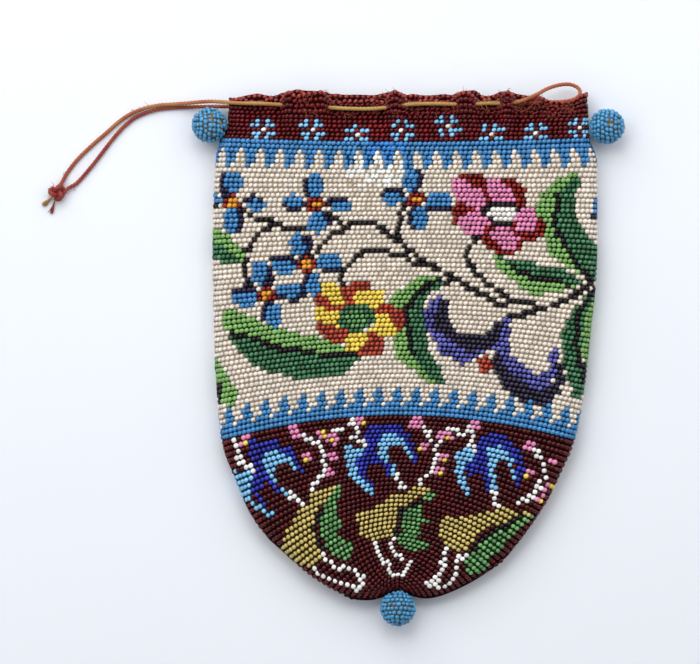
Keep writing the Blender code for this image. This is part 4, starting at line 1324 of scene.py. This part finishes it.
# %% Lay the beads of the bag
lower_band_rounds = 30
ZONES = {
    "base_beads": (0, base_rounds), "lower_band_beads": (base_rounds, base_rounds + lower_band_rounds),
    "upper_band_beads": (base_rounds + lower_band_rounds, base_rounds + band_rounds),
    "collar_beads": (base_rounds + band_rounds, len(rounds)),
}
for zone, (first, last) in ZONES.items():
    for face, shown in (("front", on_front), ("back", ~on_front)):
        picked = shown & (bead_round >= first) & (bead_round < last)
        piece = lay_beads(f"{zone}_{face}", *(values[picked] for values in (
            bead_middle, bead_out, bead_long, half_length, half_width, rise, colour,
        )))
        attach(piece, "root")

# %% [markdown]
# ## Fuzz on the rim
#
# The rim is the most handled part. There the silk between the beads has frayed, and short rust red fibres
# stand out of the last rounds. Each fibre starts under a bead of the rim and wanders over its neighbours.

# %% Rim fuzz
fuzz_count = 340
fuzz_length = 0.0026
fuzz_steps = 3
fuzz_radius = 0.00009
fuzz_rounds = 4
fuzz_from_x = 290
fuzz_to_x = 574
fuzz_curl = 0.7
fuzz_rise = 0.15
fuzz_beside_bead = 0.0007
fuzz_over_bead = 1.25 * bead_rise
fuzz_most_worn = 0.42

of_fuzz = np.flatnonzero(
    on_front & (bead_round >= len(rounds) - fuzz_rounds) & (plan_x > fuzz_from_x) & (plan_x < fuzz_to_x)
)
fuzz_lines = []
for k in rng.choice(of_fuzz, fuzz_count):
    ways = rng.uniform(0, math.tau) + np.cumsum(rng.normal(0, fuzz_curl, fuzz_steps))
    steps = np.column_stack([np.cos(ways), np.sin(ways), rng.normal(0, fuzz_rise, fuzz_steps)])
    start = bead_middle[k] + bead_along[k] * fuzz_beside_bead
    lifted = start + bead_out[k] * fuzz_over_bead
    line = [start, *(lifted + np.cumsum(steps * fuzz_length / fuzz_steps, axis=0))]
    fuzz_lines.append((line, float(rng.uniform(0.0, fuzz_most_worn))))
rim_fuzz = fibres("frayed_rim_thread", fuzz_lines, fuzz_radius)
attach(rim_fuzz, "root")
print(fuzz_count, "fibres on the rim")

# %% [markdown]
# ## The thread and painted shade behind the beads
#
# Between the beads the silk of the crochet shows: tan lines between the cream rounds. Between coloured
# beads the gaps are painted shade: dark colours, tinted by the glass beside them, in the maroon base and
# collar and round every coloured shape. Each round of thread is a row of small faces just under the
# middles of its beads, and each face takes the colour of the bead above it, except that the base is
# painted dark red shade even under its white beads. A Solidify modifier gives the walls their thickness,
# so the mouth shows a real inside.

# %% The fabric tube
fabric_inset = 0.00062
fabric_thickness = 0.0005
bottom_start = 0.2
rim_overlap = 0.3
# Thread name, the colours of its ridges and of the grooves between them, and the glass it lies under. The
# grooves' darker colour is painted shade; only the tan under cream and white is the silk's own colour, and
# the others are painted shade between the beads, tinted by their glass
THREADS_AND_GAP_SHADE = (
    ("tan", "cabca2", "a08e6e", ("cream", "white")),
    ("dark_red", "30060a", "160204", ("maroon", "deep_maroon", "dark_red", "bright_red", "painted_lit_rim_red")),
    ("blue", "1c4468", "0e2840", ("blue", "sky", "ball_blue", "bright_blue")),
    ("green", "1c3c1e", "0c2010", ("light_green", "dark_green", "mid_green")),
    ("gold", "a07c28", "6a5016", ("yellow", "orange")),
    ("black", "18141e", "0a080e", ("black", "navy", "violet", "royal", "ink")),
    ("rose", "743038", "4a181e", ("pink", "brick")),
    ("bronze", "46340e", "2a1e06", ("ochre",)),
)
THREAD_AND_SHADE_NUMBER = {name: number for number, (name, *_) in enumerate(THREADS_AND_GAP_SHADE)}
thread_and_shade_of_glass = np.zeros(len(BEAD_GLASS), int)
for name, _, _, glass_names in THREADS_AND_GAP_SHADE:
    for glass_name in glass_names:
        thread_and_shade_of_glass[COLOUR_NUMBER[glass_name]] = THREAD_AND_SHADE_NUMBER[name]


def thread_and_shade_under(j):
    """The thread and painted shade number at each measured point of a round: that of its nearest bead."""
    line = rounds[j]
    run = run_along(np.vstack([line, line[:1]]))
    of_round = colour[bead_round == j]
    count = len(of_round)
    nearest = np.floor(run[:-1] / run[-1] * count + round_lean * j).astype(int) % count
    under = thread_and_shade_of_glass[of_round[nearest]]
    # Painted shade: in the base, the dark red shade also takes the place of the tan thread
    shade_over_tan_in_base = (j < base_rounds) & (under == THREAD_AND_SHADE_NUMBER["tan"])
    return np.where(shade_over_tan_in_base, THREAD_AND_SHADE_NUMBER["dark_red"], under)


def fabric_wall(name, first, last):
    """One wall of the tube between two measured points; each row of faces belongs to one round."""
    lines = rounds - outwards * fabric_inset
    tip = np.array([*drawn_in(left_side[:1])[0], fold_radius])
    between = (lines[:-1] + lines[1:]) / 2
    start = tip + (lines[:1] - tip) * bottom_start
    end = lines[-1:] + (lines[-1:] - lines[-2:-1]) * rim_overlap
    picked = np.arange(first, last + 1) % lines.shape[1]
    rows = np.concatenate([start, between, end])[:, picked]
    made = link_mesh(name, rows.reshape(-1, 3), grid_faces(len(rows), len(picked), closed=False))
    threads_and_shades = np.array([thread_and_shade_under(j)[picked[:-1]] for j in range(len(lines))])
    made.data.polygons.foreach_set("material_index", threads_and_shades.ravel().astype(np.int32))
    solid = made.modifiers.new("thread thickness", "SOLIDIFY")
    solid.thickness = fabric_thickness
    solid.offset = -1.0
    return made


# %% Silk thread
thread_pitch = 0.0004


def silk_and_painted_shade(name, hex_colour, groove_shade_hex):
    """Twisted silk: soft sheen, fine ridges along the thread, drawn as coarse as they show; the grooves
    between the ridges take the darker colour as painted shade.
    """
    made, tree, shader, place = start_material(name, hex_colour)
    ridges = add(tree, "ShaderNodeTexWave", {
        "Vector": place, "Scale": 1 / thread_pitch / 2, "Distortion": 3.0, "Detail": 2.0, "Detail Scale": 1.5,
    }, bands_direction="DIAGONAL")
    # Painted shade: darker colour in the grooves between the ridges
    mixed = add(tree, "ShaderNodeMix", {
        0: ridges.outputs["Fac"], 6: linear(groove_shade_hex), 7: linear(hex_colour),
    }, data_type="RGBA")
    set_inputs(tree, shader, {
        "Base Color": mixed.outputs[2], "Normal": bumped(tree, ridges.outputs["Fac"], 0.5),
        "Roughness": 0.85, "Specular IOR Level": 0.1,
    })
    return made


# The tan material is the silk's own colour; the others are painted shade between coloured beads
threads_and_shades = [silk_and_painted_shade(f"{name}_silk_and_painted_shade", light, dark) for name, light, dark, _ in THREADS_AND_GAP_SHADE]
half = rounds.shape[1] // 2
for name, first, last in (("crochet_fabric_front", 0, half), ("crochet_fabric_back", half, 2 * half)):
    fabric = fabric_wall(name, first, last)
    for thread in threads_and_shades:
        fabric.data.materials.append(thread)
    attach(fabric, "root")
    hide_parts("bag_body")
    print(name, len(fabric.data.polygons), "faces")

# %% [markdown]
# ## The balls
#
# Each ball is a wad of wound thread in a crocheted cover of turquoise beads. It is laid like the bag:
# rings of beads round an axis that points to the bag, few at both ends and most in the middle. A bead is
# missing here and there, and the tan thread shows in the gaps.

# %% Balls
ball_radius = 0.0065
ball_seam_gap = 0.0003
ball_ring_pitch = 0.00162
ball_bead_pitch = 0.00172
ball_bead_half_length = 0.00090
ball_bead_half_width = 0.00077
ball_gap_share = 0.012
first_ring_angle = 0.30
last_ring_margin = 0.08
seat_lift = 0.0002
any_way = (0.31, 0.17, 0.93)
ball_facing_spread = 0.02
ball_lean = 0.35
ball_lean_spread = 0.4
ball_size_spread = 0.09
wad_gap = 0.00045
wad_swell = 0.012
wad_waves = (9, 7)
apart = ball_radius + fold_radius + knob_height + ball_seam_gap
ball_rise = fold_radius - ball_radius
ball_reach = math.sqrt(apart**2 - ball_rise**2)
# The way from each ball to the bag
BALLS = {"left_ball": (1, 0), "right_ball": (-1, 0), "bottom_ball": (0, 1)}


def ball_centre(name):
    low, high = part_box(f"{name}_core")
    return (np.array(low) + np.array(high)) / 2


def ball_beads(name, towards):
    axis = np.array([towards[0] * ball_reach, towards[1] * ball_reach, ball_rise])
    axis /= np.linalg.norm(axis)
    first = np.cross(axis, any_way)
    first /= np.linalg.norm(first)
    second = np.cross(axis, first)
    seat = ball_radius - bead_rise + seat_lift
    outs, ways = [], []
    polar = first_ring_angle
    while polar < math.pi - last_ring_margin:
        count = max(3, round(math.tau * seat * math.sin(polar) / ball_bead_pitch))
        start = rng.uniform(0, 1)
        for k in range(count):
            if rng.uniform() < ball_gap_share:
                continue
            angle = math.tau * (k + start) / count
            radial = first * math.cos(angle) + second * math.sin(angle)
            outs.append(axis * math.cos(polar) + radial * math.sin(polar))
            ways.append(second * math.cos(angle) - first * math.sin(angle))
        polar += ball_ring_pitch / seat
    outs = np.array([*outs, -axis])
    ways = np.array([*ways, first])
    count = len(outs)
    outs = unit(outs + rng.normal(0, ball_facing_spread, outs.shape))
    ways = unit(np.cross(outs, np.cross(ways, outs)))
    turned = rng.normal(ball_lean, ball_lean_spread, count)
    long_way = unit(ways * np.cos(turned)[:, None] + np.cross(outs, ways) * np.sin(turned)[:, None])
    sizes = 1 + rng.normal(0, ball_size_spread, count)
    places = ball_centre(name) + outs * (seat + rng.normal(0, slide_spread, count))[:, None]
    return lay_beads(
        f"{name}_cover", places, outs, long_way, ball_bead_half_length * sizes, ball_bead_half_width * sizes,
        bead_rise * sizes, np.full(count, COLOUR_NUMBER["ball_blue"]),
    )


def ball_core(name):
    """A slightly uneven ball of wound thread."""
    centre = Vector(ball_centre(name))
    mesh = bmesh.new()
    bmesh.ops.create_icosphere(mesh, subdivisions=4, radius=ball_radius - bead_rise - wad_gap)
    for vert in mesh.verts:
        x = vert.co.x / ball_radius
        y = vert.co.y / ball_radius
        wave = math.sin(wad_waves[0] * x) * math.cos(wad_waves[1] * y)
        vert.co = vert.co * (1 + wad_swell * wave) + centre
    data = bpy.data.meshes.new(f"{name}_wad")
    mesh.to_mesh(data)
    mesh.free()
    data.shade_smooth()
    data.materials.append(ball_thread)
    return link_object(f"{name}_wad", data)


# The wad's thread is tan, with painted shade in the grooves of its twist
ball_thread = silk_and_painted_shade("wound_tan_thread", "c49a52", "80602c")
for name, towards in BALLS.items():
    cover = ball_beads(name, towards)
    core = ball_core(name)
    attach(cover, "root")
    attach(core, "root")
    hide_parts(f"{name}_beads")
    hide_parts(f"{name}_core")

# %% [markdown]
# ## The cord's silk
#
# The cord was dyed dark red, and has worn through rust to tan where it rubs. One material serves it all:
# the stored wear value picks the colour, a noise breaks its edges, and a fine noise in the relief stands
# for the silk's fibres, 0.25 mm apart, which is as coarse as they need to show.

# %% Worn silk cord
wear_patch_length = 0.004
silk_fibre_length = 0.00025


def worn_silk():
    made, tree, shader, place = start_material("worn_silk_cord", "a4552e")
    worn = add(tree, "ShaderNodeAttribute", attribute_name="worn")
    patch = add(tree, "ShaderNodeTexNoise", {"Vector": place, "Scale": 1 / wear_patch_length, "Detail": 4.0})
    shift = add(tree, "ShaderNodeMath", {0: patch.outputs["Fac"], 1: 0.5}, operation="SUBTRACT")
    wide = add(tree, "ShaderNodeMath", {
        0: shift.outputs[0], 1: 0.7, 2: worn.outputs["Fac"],
    }, operation="MULTIPLY_ADD")
    ramp = add(tree, "ShaderNodeValToRGB", {"Fac": wide.outputs[0]})
    ramp.color_ramp.elements[0].color = linear("8a1e1e")
    ramp.color_ramp.elements[1].color = linear("b4924c")
    ramp.color_ramp.elements.new(0.45).color = linear("a4552e")
    fibre = add(tree, "ShaderNodeTexNoise", {"Vector": place, "Scale": 1 / silk_fibre_length, "Detail": 2.0})
    set_inputs(tree, shader, {
        "Base Color": ramp.outputs["Color"], "Normal": bumped(tree, fibre.outputs["Fac"], 0.4),
        "Roughness": 0.6, "Sheen Weight": 0.1,
    })
    return made


cord_silk = worn_silk()
for piece in (drawstring, knot, tan_tail, red_tail, stray_fibres, red_thread, rim_fuzz):
    piece.data.materials.append(cord_silk)

# %% [markdown]
# ## Table and light
#
# The bag lies on matt white paper in a pale room. The strongest lamp stands at the upper left and a weaker
# one beside it, and three fills stand round the table. Each lamp is a few times the bag's size, so the
# shadows are soft, and they fall mostly to the lower right.

# %% Paper floor
floor_reach = 3
paper_tooth_scale = 900.0


def paper():
    made, tree, shader, place = start_material("matt_white_paper", "f4f8ff")
    tooth = add(tree, "ShaderNodeTexNoise", {"Vector": place, "Scale": paper_tooth_scale})
    set_inputs(tree, shader, {
        "Base Color": linear("f4f8ff"), "Normal": bumped(tree, tooth.outputs["Fac"], 0.03),
        "Roughness": 0.9, "Specular IOR Level": 0.2,
    })
    return made


floor_corners = [(x * floor_reach, y * floor_reach, 0) for x, y in ((-1, -1), (1, -1), (1, 1), (-1, 1))]
floor = link_mesh("paper_floor", floor_corners, [(0, 1, 2, 3)], smooth=False)
floor.data.materials.append(paper())
floor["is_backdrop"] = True

# %% Lights
scene = bpy.context.scene
scene.view_settings.view_transform = "Standard"
room = bpy.data.worlds.new("pale_room")
scene.world = room
room.use_nodes = True
set_inputs(room.node_tree, room.node_tree.nodes["Background"], {"Color": linear("eef3fc"), "Strength": 0.12})
# Name, place, size in metres and power in watts; each lamp faces the middle of the bag
LAMPS = (
    ("window_light", (-0.40, 0.72, 0.75), 1.1, 9.2), ("far_light", (0.25, 0.85, 0.80), 1.1, 5.4),
    ("right_fill", (0.95, 0.30, 0.80), 1.2, 4.7), ("near_fill", (0.10, -0.95, 0.80), 1.2, 1.6),
    ("left_fill", (-1.00, -0.20, 0.80), 1.2, 3.9),
)
for name, location, lamp_size, power in LAMPS:
    data = bpy.data.lights.new(name, "AREA")
    data.size = lamp_size
    data.energy = power
    lamp = link_object(name, data)
    lamp.location = location
    lamp.rotation_mode = "QUATERNION"
    lamp.rotation_quaternion = (-Vector(location)).to_track_quat("-Z", "Y")

# %% Sizes for comparison
shown_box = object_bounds()
for name, box in (("CAD", cad_box), ("shown", shown_box)):
    print(name, [[round(v, 4) for v in corner] for corner in box])
